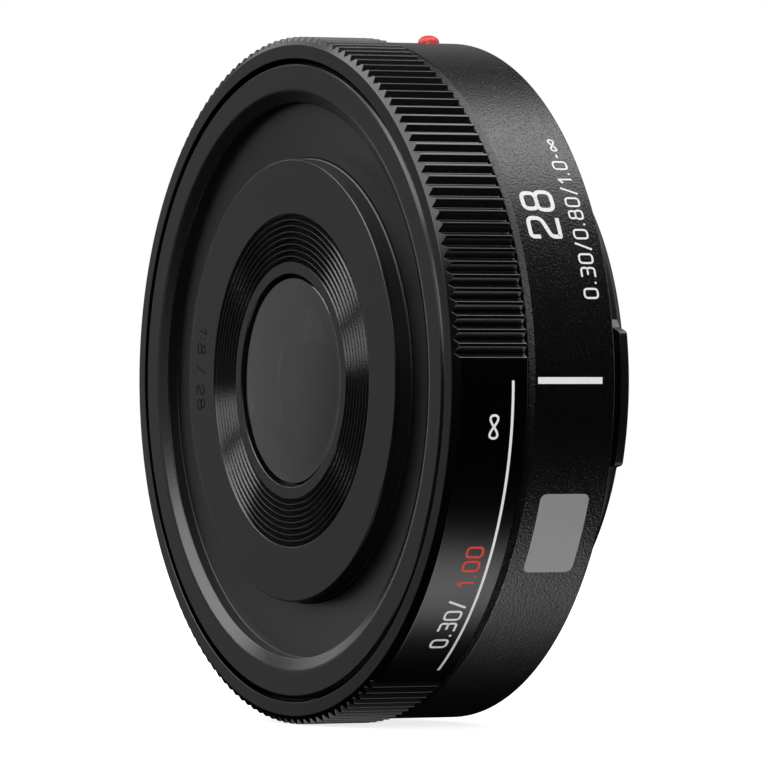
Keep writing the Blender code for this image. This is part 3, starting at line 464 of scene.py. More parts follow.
# Marks on the barrel: the white index bar, a plain figure and a small line of figures, printed in white ink,
# and a bare grey enamel pad. Each is a thin layer of ink that sits just in the paint.
INK_HIGH = 0.02
INK_LOW = -0.05
INK_STEP = 0.6
GLYPH_W = 0.62
GLYPHS = {
    "0": [(True, [(0, 0, .3), (GLYPH_W, 0, .3), (GLYPH_W, 1, .3), (0, 1, .3)])],
    "1": [(False, [(.08, .74, 0), (.36, 1, .02), (.36, 0, 0)])],
    "2": [(False, [(0, .68, 0), (0, 1, .3), (GLYPH_W, 1, .3), (GLYPH_W, .56, .2), (0, .30, .2), (0, 0, .02),
                   (GLYPH_W, 0, 0)])],
    "3": [(False, [(0, 1, 0), (GLYPH_W, 1, .3), (GLYPH_W, .53, .16), (.18, .53, 0)]),
          (False, [(.14, .53, 0), (GLYPH_W, .53, .15), (GLYPH_W, 0, .3), (0, 0, 0)])],
    "8": [(True, [(0, 0, .24), (GLYPH_W, 0, .24), (GLYPH_W, .53, .2), (0, .53, .2)]),
          (True, [(.04, .53, .2), (GLYPH_W - .04, .53, .2), (GLYPH_W - .04, 1, .24), (.04, 1, .24)])],
    ".": [(False, [(0, .06, 0), (.14, .06, 0)])],
    ":": [(False, [(0, .25, 0), (.14, .25, 0)]), (False, [(0, .75, 0), (.14, .75, 0)])],
    "/": [(False, [(0, -.1, 0), (.45, 1.1, 0)])],
    "-": [(False, [(0, .45, 0), (.3, .45, 0)])],
    " ": [],
}
loop_turn = np.linspace(0, 2 * math.pi, 40, endpoint=False)
loop = np.stack([.5 + .5 * np.cos(loop_turn), .42 + .19 * np.sin(2 * loop_turn), 0 * loop_turn], -1)
GLYPHS["~"] = [(True, loop)]
NARROW = {".": 0.14, ":": 0.14, "/": 0.45, "-": 0.3, " ": 0.2, "1": 0.4, "~": 1.0}


def closer(path, longest):
    """Adds points along a path's straight runs, so that no step of it is longer than asked."""
    step = np.linalg.norm(np.diff(path, axis=0), axis=1)
    parts = np.maximum(np.ceil(step / longest).astype(int), 1)
    at = np.concatenate([[0], np.cumsum(parts)])
    wanted = np.arange(at[-1] + 1)
    return np.stack([np.interp(wanted, at, path[:, 0]), np.interp(wanted, at, path[:, 1])], -1)


def figures(text, height, gap):
    """The pen paths of a line of figures of that height, set out from the origin to the right, with gaps that
    are a share of the height. A tilde stands for the sign of infinity."""
    paths = []
    at = 0.0
    for sign in text:
        for closed, corners in GLYPHS[sign]:
            path = eased(corners) * height + [at, 0]
            paths.append((closed, path))
        at += (NARROW.get(sign, GLYPH_W) + gap) * height
    return paths


def inked(name, paths, pen, to_place, finish):
    """Strokes of a pen of that width along paths, as thin bars: at each point of a path four corners lie half
    the pen's width to either side, at the ink's top and foot, and to_place lays (along, up, height) on the
    lens."""
    points = []
    faces = []
    for closed, path in paths:
        if closed:
            path = closer(np.concatenate([path, path[:1]]), INK_STEP)[:-1]
            heading = np.roll(path, -1, 0) - np.roll(path, 1, 0)
        else:
            path = closer(path, INK_STEP)
            heading = np.gradient(path, axis=0)
        heading = heading / np.linalg.norm(heading, axis=1)[:, None]
        aside = np.stack([-heading[:, 1], heading[:, 0]], -1) * pen / 2
        edge = np.stack([path - aside, path + aside, path + aside, path - aside], 1)
        lift = np.array([INK_HIGH, INK_HIGH, INK_LOW, INK_LOW])
        first = sum(len(grid) * 4 for grid in points)
        points.append(to_place(edge[..., 0], edge[..., 1], np.broadcast_to(lift, edge.shape[:2])))
        faces += (np.array(woven(len(path), 4, wrap_rows=closed)) + first).tolist()
        if not closed:
            last = first + 4 * (len(path) - 1)
            faces.append([first, first + 1, first + 2, first + 3])
            faces.append([last + 3, last + 2, last + 1, last])
    return made(name, np.concatenate(points), faces, finish)


def round_barrel(radius, turn, s):
    """Lays (along, up, height) round a barrel from that turn and distance forward: along runs round it, up
    runs forward and height runs out from its axis, as ((r + height) cos(turn + along / r), -(s + up),
    (r + height) sin(turn + along / r))."""
    def to_place(along, up, height):
        angle = turn + along / radius
        return np.stack([(radius + height) * np.cos(angle), -(s + up), (radius + height) * np.sin(angle)], -1)
    return to_place


white_ink = grained(
    "white_ink", dark=(0.78, 0.78, 0.77), pale=(0.84, 0.84, 0.83), rough=(0.45, 0.6), grain_mm=0.08,
    relief_mm=0.002)
INDEX_BAR_L = 7.0
bar = [(False, np.array([[0.0, 0.0], [0.0, INDEX_BAR_L]]))]
at_bar = round_barrel(BARREL_R, turn=0.0, s=1.95)
index_bar = inked("index_bar", bar, pen=0.64, to_place=at_bar, finish=white_ink)
seated(index_bar, "lens_body", "textured_paint")
at_big = round_barrel(BARREL_R, turn=math.radians(24.4), s=4.8)
big_paths = figures("28", height=3.2, gap=0.28)
big_figure = inked("barrel_figure", big_paths, pen=0.42, to_place=at_big, finish=white_ink)
seated(big_figure, "lens_body", "textured_paint")
at_line = round_barrel(BARREL_R, turn=math.radians(13.7), s=1.85)
line_paths = figures("0.30/0.80/1.0-~", height=1.45, gap=0.34)
small_line = inked("barrel_figure_line", line_paths, pen=0.2, to_place=at_line, finish=white_ink)
seated(small_line, "lens_body", "textured_paint")

PAD_REAR_S = 2.3
PAD_FRONT_S = 7.6
PAD_TOP_TURN = math.radians(-19)
PAD_FOOT_TURN = math.radians(-33.5)
PAD_CORNER = 0.65
PAD_STEPS = 16
grey_enamel = grained(
    "grey_enamel", dark=(0.24, 0.24, 0.24), pale=(0.27, 0.27, 0.27), rough=(0.4, 0.5), grain_mm=0.1,
    relief_mm=0.002)
pad_half_l = BARREL_R * (PAD_TOP_TURN - PAD_FOOT_TURN) / 2
pad_half_w = (PAD_FRONT_S - PAD_REAR_S) / 2
pad_bend = np.linspace(0, math.pi / 2, 7)
pad_end = pad_half_l - PAD_CORNER + PAD_CORNER * np.sin(pad_bend)
pad_side = pad_half_w - PAD_CORNER + PAD_CORNER * np.cos(pad_bend)
pad_straight = np.linspace(-pad_end[0], pad_end[0], PAD_STEPS + 2)[1:-1]
pad_along = np.concatenate([-pad_end[::-1], pad_straight, pad_end])
pad_reach = np.concatenate([pad_side[::-1], np.full(PAD_STEPS, pad_half_w), pad_side])
pad_lift = np.array([INK_HIGH, INK_HIGH, INK_LOW, INK_LOW])
pad_up = pad_reach[:, None] * np.array([-1, 1, 1, -1])
on_pad = round_barrel(BARREL_R, (PAD_TOP_TURN + PAD_FOOT_TURN) / 2, (PAD_REAR_S + PAD_FRONT_S) / 2)
pad_points = on_pad(pad_along[:, None] + 0 * pad_up, pad_up, pad_lift + 0 * pad_up)
pad_last = 4 * (len(pad_along) - 1)
pad_faces = woven(len(pad_along), 4, wrap_rows=False)
pad_faces += [[0, 1, 2, 3], [pad_last + 3, pad_last + 2, pad_last + 1, pad_last]]
pad = made("barrel_pad", pad_points, pad_faces, grey_enamel)
seated(pad, "lens_body", "textured_paint")

# Index dot: a red dome, moulded in plastic and pressed into the top of the barrel. The drill left a small
# bright seat of bare metal round it.
DOT_PLACE = (0.0, -2.7, 33.2)
DOT_R = 1.05
DOT_RISE = 0.7
DOT_STEM_R = 0.7
DOT_STEM_L = 0.7
DOT_STEPS = 48
DOT_SEAT_R = 1.07
DOT_SEAT_RIM_R = 1.18
red_gloss = grained(
    "red_gloss", dark=(0.70, 0.045, 0.04), pale=(0.76, 0.055, 0.05), rough=(0.4, 0.5), grain_mm=0.15,
    relief_mm=0.001)
dome_turn = np.linspace(0, math.pi / 2, 12)
dome = np.stack([DOT_R * np.sin(dome_turn), DOT_RISE * np.cos(dome_turn), 0 * dome_turn], -1).tolist()
dot = turned("index_dot_dome", dome + [
    (DOT_R, -0.05, 0.0),
    (DOT_STEM_R, -0.1, 0.0),
    (DOT_STEM_R, -DOT_STEM_L, 0.0),
    (0.0, -DOT_STEM_L, 0.0),
], DOT_STEPS, red_gloss, UPWARD_AXES, DOT_PLACE)
seated(dot, "lens_body", "red_dot", "index_dot")
bare_edge = grained(
    "bare_edge", dark=(0.30, 0.28, 0.27), pale=(0.42, 0.40, 0.38), rough=(0.3, 0.4), grain_mm=0.05,
    relief_mm=0.002, Metallic=1.0)
dot_seat = turned("index_dot_seat", [
    (DOT_SEAT_R, -0.08, 0.02),
    (DOT_SEAT_RIM_R, -0.1, 0.03),
    (DOT_SEAT_RIM_R, -0.25, 0.0),
    (DOT_SEAT_R, -0.25, 0.0),
], DOT_STEPS, bare_edge, UPWARD_AXES, DOT_PLACE)
seated(dot_seat, "lens_body", "mount_metal")

# Guide sleeve, slide ring and their screws: hidden inside the barrel. The sleeve, the lens barrel, the
# spacers and the stop are moulded black plastic, and the slide ring is white bearing plastic.


def coated(finish, *names):
    """Gives CAD nodes that stay as they are their finish."""
    for name in names:
        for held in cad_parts[name].material_slots:
            held.material = finish


matte_plastic = grained(
    "matte_black_plastic", dark=(0.002, 0.002, 0.002), pale=(0.004, 0.004, 0.004), rough=(0.55, 0.7),
    grain_mm=0.12, relief_mm=0.006)
bearing_plastic = grained(
    "bearing_plastic", dark=(0.70, 0.70, 0.67), pale=(0.78, 0.78, 0.75), rough=(0.35, 0.5), grain_mm=0.3,
    relief_mm=0.004)
coated(matte_plastic, "guide_sleeve", "lens_barrel", "front_spacer", "aperture_stop", "rear_spacer")
coated(bearing_plastic, "slide_ring")
coated(screw_steel, "sleeve_screw_1", "sleeve_screw_2", "sleeve_screw_3")

# Cam ring and follower pins: the machined aluminium ring with slanting slots that turns with the focus ring,
# and the ground steel pins that it drives.
machined = grained(
    "machined_aluminium", dark=(0.26, 0.25, 0.22), pale=(0.34, 0.32, 0.28), rough=(0.3, 0.42), grain_mm=0.1,
    relief_mm=0.003, marks_mm=0.08, Metallic=1.0)
ground_steel = grained(
    "ground_steel", dark=(0.5, 0.5, 0.5), pale=(0.6, 0.6, 0.6), rough=(0.18, 0.28), grain_mm=0.05,
    relief_mm=0.002, Metallic=1.0)
coated(machined, "cam_ring")
coated(screw_steel, "ring_screw_1", "ring_screw_2", "ring_screw_3")
coated(ground_steel, "follower_pin_1", "follower_pin_2", "follower_pin_3")

# Lens cell: the inner tube that holds the glass, turned from black plastic. Its bore is stepped for the
# lenses, with an inner rib at the stop, and its flange sits on a web in the lens barrel.
CELL_STEPS = 128
CELL_R = 12.5
CELL_FRONT_S = 16.9
CELL_REAR_S = 2.9
CELL_FLANGE_R = 14.0
CELL_FLANGE_FRONT_S = 10.8
CELL_FLANGE_REAR_S = 9.8
FRONT_SEAT_R = 10.1
FRONT_SEAT_S = 15.45
SECOND_SEAT_R = 8.7
REAR_SEAT_R = 9.1
RIB_R = 5.0
RIB_FRONT_S = 11.4
RIB_REAR_S = 10.2
cell_black = grained(
    "blackened_cell", dark=(0.002, 0.002, 0.002), pale=(0.004, 0.004, 0.004), rough=(0.45, 0.6),
    grain_mm=0.08, relief_mm=0.004, marks_mm=0.1)
cell = turned("lens_cell_tube", [
    (FRONT_SEAT_R, CELL_FRONT_S, 0.08),
    (CELL_R, CELL_FRONT_S, 0.1),
    (CELL_R, CELL_FLANGE_FRONT_S, 0.0),
    (CELL_FLANGE_R, CELL_FLANGE_FRONT_S, 0.1),
    (CELL_FLANGE_R, CELL_FLANGE_REAR_S, 0.1),
    (CELL_R, CELL_FLANGE_REAR_S, 0.0),
    (CELL_R, CELL_REAR_S, 0.25),
    (REAR_SEAT_R, CELL_REAR_S, 0.15),
    (REAR_SEAT_R, RIB_REAR_S, 0.0),
    (RIB_R, RIB_REAR_S, 0.05),
    (RIB_R, RIB_FRONT_S, 0.05),
    (SECOND_SEAT_R, RIB_FRONT_S, 0.0),
    (SECOND_SEAT_R, FRONT_SEAT_S, 0.05),
    (FRONT_SEAT_R, FRONT_SEAT_S, 0.0),
], CELL_STEPS, cell_black)
seated(cell, "lens_unit", "inner_plastic", "lens_cell")

# Rear and inner glass, and the retaining ring: polished lenses in the cell, the last of which is held by a
# threaded ring with two slots for a pin spanner. A low index on the inner two stands in for coats that hardly
# reflect.
LENS_STEPS = 16
LENS_BEVEL = 0.04
LENS_LAND = 0.02
GLASS_TINT = (0.015, 0.017, 0.015, 1)
coated_glass = shader_of("coated_glass", {
    "Base Color": GLASS_TINT, "Roughness": 0.02, "IOR": 1.75, "Transmission Weight": 1.0,
    "Specular Tint": (0.97, 1.0, 0.98, 1), "Coat Weight": 0.5,
})[0]
inner_glass = shader_of("inner_glass", {
    "Base Color": GLASS_TINT, "Roughness": 0.02, "IOR": 1.2, "Transmission Weight": 1.0,
})[0]


def lens(name, node, glass, radius, rear_s, front_s, front_crown, rear_crown, front_rim, rear_rim):
    """A round lens: two faces s = edge + crown (1 - (r / aperture)^2), each with a flat rim, and a bevelled
    edge."""
    share = np.linspace(0, 1, LENS_STEPS)
    front_r = (radius - front_rim - LENS_BEVEL - LENS_LAND) * share
    rear_r = (radius - rear_rim - LENS_BEVEL - LENS_LAND) * share
    front = np.stack([front_r, front_s + front_crown * (1 - share ** 2), 0 * share], -1).tolist()
    rear = np.stack([rear_r, rear_s + rear_crown * (1 - share ** 2), 0 * share], -1).tolist()
    rim = [
        (radius - LENS_BEVEL, front_s, 0.0), (radius, front_s - LENS_BEVEL, 0.0),
        (radius, rear_s + LENS_BEVEL, 0.0), (radius - LENS_BEVEL, rear_s, 0.0),
    ]
    piece = turned(name, front + rim + rear[::-1], CELL_STEPS, glass)
    seated(piece, "lens_unit", "coated_glass", node)


lens("element_2_glass", "element_2", inner_glass, radius=8.6, rear_s=11.5, front_s=13.5,
     front_crown=0.6, rear_crown=0.0, front_rim=1.0, rear_rim=1.0)
lens("element_3_glass", "element_3", inner_glass, radius=9.0, rear_s=7.3, front_s=9.7,
     front_crown=-0.8, rear_crown=-0.9, front_rim=1.0, rear_rim=1.0)
lens("rear_glass", "rear_element", coated_glass, radius=9.0, rear_s=3.85, front_s=5.25,
     front_crown=0.4, rear_crown=0.0, front_rim=1.0, rear_rim=1.0)

RETAINER_STEPS = 144
RETAINER_R = 9.0
RETAINER_BORE_R = 8.0
RETAINER_MID_R = (RETAINER_R + RETAINER_BORE_R) / 2
RETAINER_FRONT_S = 3.75
RETAINER_REAR_S = 2.95
SPANNER_SLOT_HALF = 0.62
SPANNER_SLOT_DEPTH = 0.45
SPANNER_SLOT_FROM_S = 3.3
retainer_profile = eased([
    (RETAINER_BORE_R, RETAINER_FRONT_S, 0.05),
    (RETAINER_R, RETAINER_FRONT_S, 0.05),
    (RETAINER_R, RETAINER_REAR_S, 0.08),
    (RETAINER_BORE_R, RETAINER_REAR_S, 0.15),
])
retainer_points = spun(retainer_profile, RETAINER_STEPS)
retainer_turn = np.linspace(0, 2 * math.pi, RETAINER_STEPS, endpoint=False)
in_slot = np.abs(np.sin(retainer_turn)) * RETAINER_MID_R < SPANNER_SLOT_HALF
at_rear = retainer_profile[:, 1:] < SPANNER_SLOT_FROM_S
retainer_points[..., 1] -= np.where(in_slot & at_rear, SPANNER_SLOT_DEPTH, 0.0)
retainer_faces = woven(len(retainer_profile), RETAINER_STEPS)
retainer = made("rear_retaining_ring_slotted", retainer_points, retainer_faces, cell_black)
seated(retainer, "lens_unit", "inner_plastic", "rear_retaining_ring")

# Rear baffle: a moulded black plastic plate with an oblong bevelled window, which keeps stray light off the
# sensor. Three small screws hold it on the mount's inner shoulder.
BAFFLE_R = 23.9
BAFFLE_REAR_S = 0.1
BAFFLE_FRONT_S = 0.9
BAFFLE_EDGE = 0.1
WINDOW_LIP = 0.15
BAFFLE_SCREW_TURNS = np.radians([30, 150, 270])
BAFFLE_SCREW_R = 22.25
BAFFLE_SCREW_S = -0.5
WINDOW_HALF_W = 13.0
WINDOW_HALF_H = 9.0
WINDOW_CORNER = 1.5
side = np.linspace(-1, 1, 24)
bend = np.linspace(0, math.pi / 2, 9)[1:-1]
quarter_x = np.concatenate([side * 0 + WINDOW_HALF_W, WINDOW_HALF_W - WINDOW_CORNER * (1 - np.cos(bend))])
quarter_z = np.concatenate([side * (WINDOW_HALF_H - WINDOW_CORNER),
                            WINDOW_HALF_H - WINDOW_CORNER * (1 - np.sin(bend))])
top_x = np.concatenate([-side * (WINDOW_HALF_W - WINDOW_CORNER),
                        -WINDOW_HALF_W + WINDOW_CORNER * (1 - np.sin(bend))])
top_z = np.concatenate([side * 0 + WINDOW_HALF_H, WINDOW_HALF_H - WINDOW_CORNER * (1 - np.cos(bend))])
window_x = np.concatenate([quarter_x, top_x, -quarter_x, -top_x])
window_z = np.concatenate([quarter_z, top_z, -quarter_z, -top_z])
window_turn = np.arctan2(window_z, window_x)
rim_x = BAFFLE_R * np.cos(window_turn)
rim_z = BAFFLE_R * np.sin(window_turn)
baffle_rows = np.array([
    (0.0, BAFFLE_FRONT_S), (0.97, BAFFLE_FRONT_S),
    (1.0, BAFFLE_FRONT_S - BAFFLE_EDGE), (1.0, BAFFLE_REAR_S + BAFFLE_EDGE),
    (0.99, BAFFLE_REAR_S), (0.97, BAFFLE_REAR_S), (0.16, BAFFLE_REAR_S), (0.14, BAFFLE_REAR_S),
    (0.12, BAFFLE_REAR_S + 0.02), (0.0, BAFFLE_FRONT_S - WINDOW_LIP),
])
out_share = baffle_rows[:, :1]
baffle_points = np.stack([
    window_x + out_share * (rim_x - window_x), -baffle_rows[:, 1:] + 0 * window_x,
    window_z + out_share * (rim_z - window_z),
], -1)
baffle = made("rear_baffle_plate", baffle_points, woven(len(baffle_rows), len(window_x)), matte_plastic)
seated(baffle, "lens_body", "inner_plastic", "rear_baffle")
for number, turn in enumerate(BAFFLE_SCREW_TURNS, 1):
    screw = cross_screw(f"baffle_screw_{number}_head", spot(BAFFLE_SCREW_R, turn, BAFFLE_SCREW_S),
                        head_r=0.9, head_h=0.5, shank_r=0.45, length=2.2)
    seated(screw, "lens_body", "screw_steel", f"baffle_screw_{number}")

# Focus ring: turned from aluminium and anodised satin black. Straight ridges for the fingers are milled all
# round it but for a smooth patch that carries the distance scale, and its front edge is bevelled across them.
RING_VALLEY_R = 32.98
RING_BORE_R = 31.35
RING_FRONT_S = 18.1
RING_REAR_S = 10.2
RING_FLANGE_R = 27.0
RING_FLANGE_FRONT_S = 13.2
RING_FLANGE_REAR_S = 11.6
RIDGE_RISE = 0.5
RIDGE_COUNT = 129
RIDGE_FIRST = math.radians(5.74)
RIDGE_PITCH = math.radians(2.2855)
SCALE_STEPS = 70
BEVEL_TOP_R = 32.68
BEVEL_TOP_S = 18.06
BEVEL_SLOPE = 0.55 / 0.87
MILLED_FROM_S = 17.8
GRIP_MARGIN = 0.08
FLANK_FOOT = 0.02
FLANK_TOP = RIDGE_RISE - 0.03
ridge_across = np.array([0.615, 0.58, 0.545, 0.52, 0.2, 0.175, 0.153, 0.1325, 0.11, 0.085]) / RING_VALLEY_R
ridge_height = np.array([0.0, 0.008, 0.034, 0.0625, 0.4265, 0.455, 0.474, 0.489, 0.497, RIDGE_RISE])
across = np.concatenate([-ridge_across, ridge_across[::-1]])
rise_across = np.concatenate([ridge_height, ridge_height[::-1]])
ridge_turns = RIDGE_FIRST + RIDGE_PITCH * np.arange(RIDGE_COUNT)
scale_foot = RIDGE_FIRST + RIDGE_PITCH * RIDGE_COUNT
scale_top = RIDGE_FIRST - RIDGE_PITCH + 2 * math.pi
scale_turns = np.linspace(scale_foot, scale_top, SCALE_STEPS)
ring_turns = np.concatenate([
    (ridge_turns[:, None] + across).ravel(), scale_foot - ridge_across, scale_turns,
    scale_top + ridge_across[::-1],
])
ring_rise = np.concatenate([
    np.tile(rise_across, RIDGE_COUNT), ridge_height, np.full(SCALE_STEPS, RIDGE_RISE), ridge_height[::-1],
])
ring_profile = eased([
    (RING_BORE_R, RING_FRONT_S, 0.07),
    (BEVEL_TOP_R, BEVEL_TOP_S, 0.06),
    (RING_VALLEY_R, BEVEL_TOP_S - BEVEL_SLOPE * (RING_VALLEY_R - BEVEL_TOP_R), 0.06),
    (RING_VALLEY_R, RING_REAR_S, 0.14),
    (RING_BORE_R, RING_REAR_S, 0.0),
    (RING_BORE_R, RING_FLANGE_REAR_S, 0.0),
    (RING_FLANGE_R, RING_FLANGE_REAR_S, 0.0),
    (RING_FLANGE_R, RING_FLANGE_FRONT_S, 0.0),
    (RING_BORE_R, RING_FLANGE_FRONT_S, 0.0),
])
ring_mid_s = (RING_FRONT_S + RING_REAR_S) / 2
on_grip = (ring_profile[:, 0] > RING_VALLEY_R - GRIP_MARGIN).astype(float)
on_bevel = on_grip * (ring_profile[:, 1] > ring_mid_s)
ring_r = ring_profile[:, :1] + on_grip[:, None] * ring_rise
ring_s = ring_profile[:, 1:] - on_bevel[:, None] * BEVEL_SLOPE * ring_rise
ring_points = np.stack([ring_r * np.cos(ring_turns), -ring_s, ring_r * np.sin(ring_turns)], -1)
anodised = grained(
    "black_anodised", dark=(0.0004, 0.0004, 0.0004), pale=(0.0009, 0.0009, 0.0009), rough=(0.20, 0.21),
    grain_mm=0.15, relief_mm=0.001)
tree = anodised.node_tree
shader = tree.nodes["Principled BSDF"]
plain_colour = shader.inputs["Base Color"].links[0].from_socket
plain_rough = shader.inputs["Roughness"].links[0].from_socket
# The milled flanks of the ridges are rougher, as cut, and are painted lighter: the lighter colour is a
# painted sheen for the light that the ridges reflect onto each other.
flank_sheen_share = wired(tree, "Attribute", attribute_name="milled_painted_sheen").outputs["Fac"]
ring_colour_and_sheen = blended(tree, flank_sheen_share, plain_colour, (0.004, 0.004, 0.004))
ring_rough = wired(tree, "Mix", {"Factor": flank_sheen_share, 2: plain_rough, 3: 0.27})
tree.links.new(ring_colour_and_sheen, shader.inputs["Base Color"])
tree.links.new(ring_rough.outputs[0], shader.inputs["Roughness"])
focus_ring = made("focus_ring_ridged", ring_points, woven(*ring_r.shape), anodised)
# The mask of the ridges' flanks behind the bevel, which get the rougher cut finish and the painted sheen.
behind_bevel = on_grip * (ring_profile[:, 1] < MILLED_FROM_S)
on_flank = (ring_rise > FLANK_FOOT) & (ring_rise < FLANK_TOP)
flank_sheen_mask = behind_bevel[:, None] * on_flank
milled_painted_sheen = focus_ring.data.attributes.new("milled_painted_sheen", "FLOAT", "POINT")
milled_painted_sheen.data.foreach_set("value", flank_sheen_mask.ravel())
seated(focus_ring, "focus_group", "ring_anodised", "focus_ring")

# Distance scale: a line over the whole turn, with the sign of infinity at one end and the near distances at
# the other. It is printed in white and red ink on the ring's smooth patch.
SCALE_R = RING_VALLEY_R + RIDGE_RISE
SCALE_TURN = math.radians(56)
SCALE_PEN = 0.24
NEAR_S = 12.8
NEAR_HEIGHT = 1.7
SCALE_GAP = 0.3
red_ink = grained(
    "red_ink", dark=(0.62, 0.035, 0.02), pale=(0.70, 0.045, 0.025), rough=(0.45, 0.6), grain_mm=0.08,
    relief_mm=0.002)
line_along = np.linspace(0, -SCALE_TURN * SCALE_R, 60)
line_path = [(False, np.stack([line_along, 0 * line_along], -1))]
at_scale_line = round_barrel(SCALE_R, turn=0.0, s=11.85)
scale_line = inked("scale_line", line_path, pen=0.27, to_place=at_scale_line, finish=white_ink)
seated(scale_line, "focus_group", "ring_anodised")
far_paths = figures("~", height=2.2, gap=SCALE_GAP)
at_far = round_barrel(SCALE_R, turn=math.radians(-9.4), s=12.85)
scale_far = inked("scale_infinity", far_paths, pen=0.23, to_place=at_far, finish=white_ink)
seated(scale_far, "focus_group", "ring_anodised")
near_paths = figures("0.30/", NEAR_HEIGHT, SCALE_GAP)
at_near = round_barrel(SCALE_R, turn=math.radians(-49.5), s=NEAR_S)
scale_near = inked("scale_near_white", near_paths, SCALE_PEN, at_near, white_ink)
seated(scale_near, "focus_group", "ring_anodised")
red_paths = figures("1.00", NEAR_HEIGHT, SCALE_GAP)
at_red = round_barrel(SCALE_R, turn=math.radians(-36.0), s=NEAR_S)
scale_red = inked("scale_near_red", red_paths, SCALE_PEN, at_red, red_ink)
seated(scale_red, "focus_group", "ring_anodised")

# Front cover: a fixed turned ring with a flat bezel and a dished floor round the front plate, sprayed fine
# matte black, with a rougher coat down in the dish. Its collar is pressed on to the guide sleeve.
FRONT_S = 18.1
BEZEL_INNER_R = 28.34
BEZEL_OUTER_R = 30.68
COVER_R = 30.98
COVER_REAR_S = 13.4
SKIRT_BORE_R = 29.4
COVER_UNDER_S = 15.1
COLLAR_R = 25.2
COLLAR_BORE_R = 24.1
COLLAR_REAR_S = 14.45
COVER_BORE_R = 21.76
FLOOR_INNER_S = 16.16
FLOOR_OUTER_S = 16.55
DISH_R = 27.06
DISH_TOP_S = 17.6
ROUGH_COAT_S = (17.6, 17.5)
ROUGH_COAT_R = (21.45, 21.5)
matte_paint = grained(
    "fine_matte_paint", dark=(0.002, 0.002, 0.002), pale=(0.006, 0.006, 0.006), rough=(0.15, 0.17),
    grain_mm=0.15, relief_mm=0.005)
tree = matte_paint.node_tree
shader = tree.nodes["Principled BSDF"]
face_rough = shader.inputs["Roughness"].links[0].from_socket
place = wired(tree, "TexCoord").outputs["Object"]
backward = wired(tree, "SeparateXYZ", {0: place}).outputs["Y"]
below_bezel = spread(tree, backward, -ROUGH_COAT_S[0] * MM, -ROUGH_COAT_S[1] * MM)
past_plate = spread(tree, radius_of(tree, place), ROUGH_COAT_R[0] * MM, ROUGH_COAT_R[1] * MM)
in_dish = wired(tree, "Math", {0: below_bezel, 1: past_plate}, operation="MULTIPLY").outputs[0]
dish_rough = wired(tree, "Mix", {"Factor": in_dish, 2: face_rough, 3: 0.36})
tree.links.new(dish_rough.outputs[0], shader.inputs["Roughness"])
cover = turned("front_cover_dish", [
    (BEZEL_INNER_R, FRONT_S, 0.2),
    (BEZEL_OUTER_R, FRONT_S, 0.03),
    (BEZEL_OUTER_R + 0.04, FRONT_S - 0.1, 0.02),
    (BEZEL_OUTER_R + 0.09, FRONT_S - 0.12, 0.02),
    (COVER_R, FRONT_S - 0.44, 0.06),
    (COVER_R, COVER_REAR_S, 0.1),
    (SKIRT_BORE_R, COVER_REAR_S, 0.1),
    (SKIRT_BORE_R, COVER_UNDER_S, 0.0),
    (COLLAR_R, COVER_UNDER_S, 0.0),
    (COLLAR_R, COLLAR_REAR_S, 0.05),
    (COLLAR_BORE_R, COLLAR_REAR_S, 0.05),
    (COLLAR_BORE_R, COVER_UNDER_S, 0.0),
    (COVER_BORE_R, COVER_UNDER_S, 0.05),
    (COVER_BORE_R, FLOOR_INNER_S, 0.04),
    (DISH_R, FLOOR_OUTER_S, 0.1),
    (DISH_R, DISH_TOP_S, 0.1),
], BODY_STEPS, matte_paint)
seated(cover, "lens_body", "cover_paint", "front_cover")

# Front plate: the round face round the glass, which moves with the lens. It is turned from aluminium and
# sprayed like the cover, with eight fine rings cut round the glass to break up reflections.
PLATE_R = 21.56
PLATE_S = 18.07
PLATE_BACK_S = 17.0
PLATE_BORE_R = 10.38
SKIRT_REAR_S = 11.3
SKIRT_INNER_R = 20.4
LIP_R = 21.70
LIP_TOP_S = 16.42
LIP_EDGE_S = 16.34
GROOVE_OUTER_R = 16.25
GROOVE_PITCH = 0.594
GROOVE_DEPTH = 0.55
GROOVE_COUNT = 8
LAND_HALF = 0.03
PLATE_STEPS = 360
groove_top = GROOVE_OUTER_R - GROOVE_PITCH * np.arange(GROOVE_COUNT + 1)[::-1]
groove_foot = (groove_top[:-1] + groove_top[1:]) / 2
grooves = []
for top_r, foot_r in zip(groove_top, groove_foot):
    grooves.append((top_r - LAND_HALF, PLATE_S, 0.02))
    grooves.append((top_r + LAND_HALF, PLATE_S, 0.02))
    grooves.append((foot_r, PLATE_S - GROOVE_DEPTH, 0.05))
plate = turned("front_plate_face", [(PLATE_BORE_R, PLATE_S, 0.1)] + grooves + [
    (GROOVE_OUTER_R, PLATE_S, 0.07),
    (PLATE_R, PLATE_S, 0.14),
    (PLATE_R, LIP_TOP_S, 0.0),
    (LIP_R, LIP_EDGE_S, 0.08),
    (LIP_R, SKIRT_REAR_S, 0.1),
    (SKIRT_INNER_R, SKIRT_REAR_S, 0.05),
    (SKIRT_INNER_R, PLATE_BACK_S, 0.0),
    (PLATE_BORE_R, PLATE_BACK_S, 0.05),
], PLATE_STEPS, matte_paint)
seated(plate, "lens_unit", "cover_paint", "front_plate")


def round_face(radius, turn, s):
    """Lays (along, up, height) on the front face from that radius and turn: along runs round it, up runs to
    its middle and height runs forward, as ((r - up) cos(turn + along / r), -(s + height),
    (r - up) sin(turn + along / r))."""
    def to_place(along, up, height):
        angle = turn + along / radius
        return np.stack([(radius - up) * np.cos(angle), -(s + height), (radius - up) * np.sin(angle)], -1)
    return to_place


gloss_black = grained(
    "gloss_black_ink", dark=(0.001, 0.001, 0.001), pale=(0.002, 0.002, 0.002), rough=(0.3, 0.4), grain_mm=0.1,
    relief_mm=0.001, Specular_IOR_Level=0.1)
at_plate = round_face(19.9, turn=math.radians(164), s=PLATE_S)
plate_paths = figures("1:8 / 28", height=1.5, gap=0.34)
plate_figure = inked("plate_figure", plate_paths, pen=0.17, to_place=at_plate, finish=gloss_black)
seated(plate_figure, "lens_unit", "cover_paint")

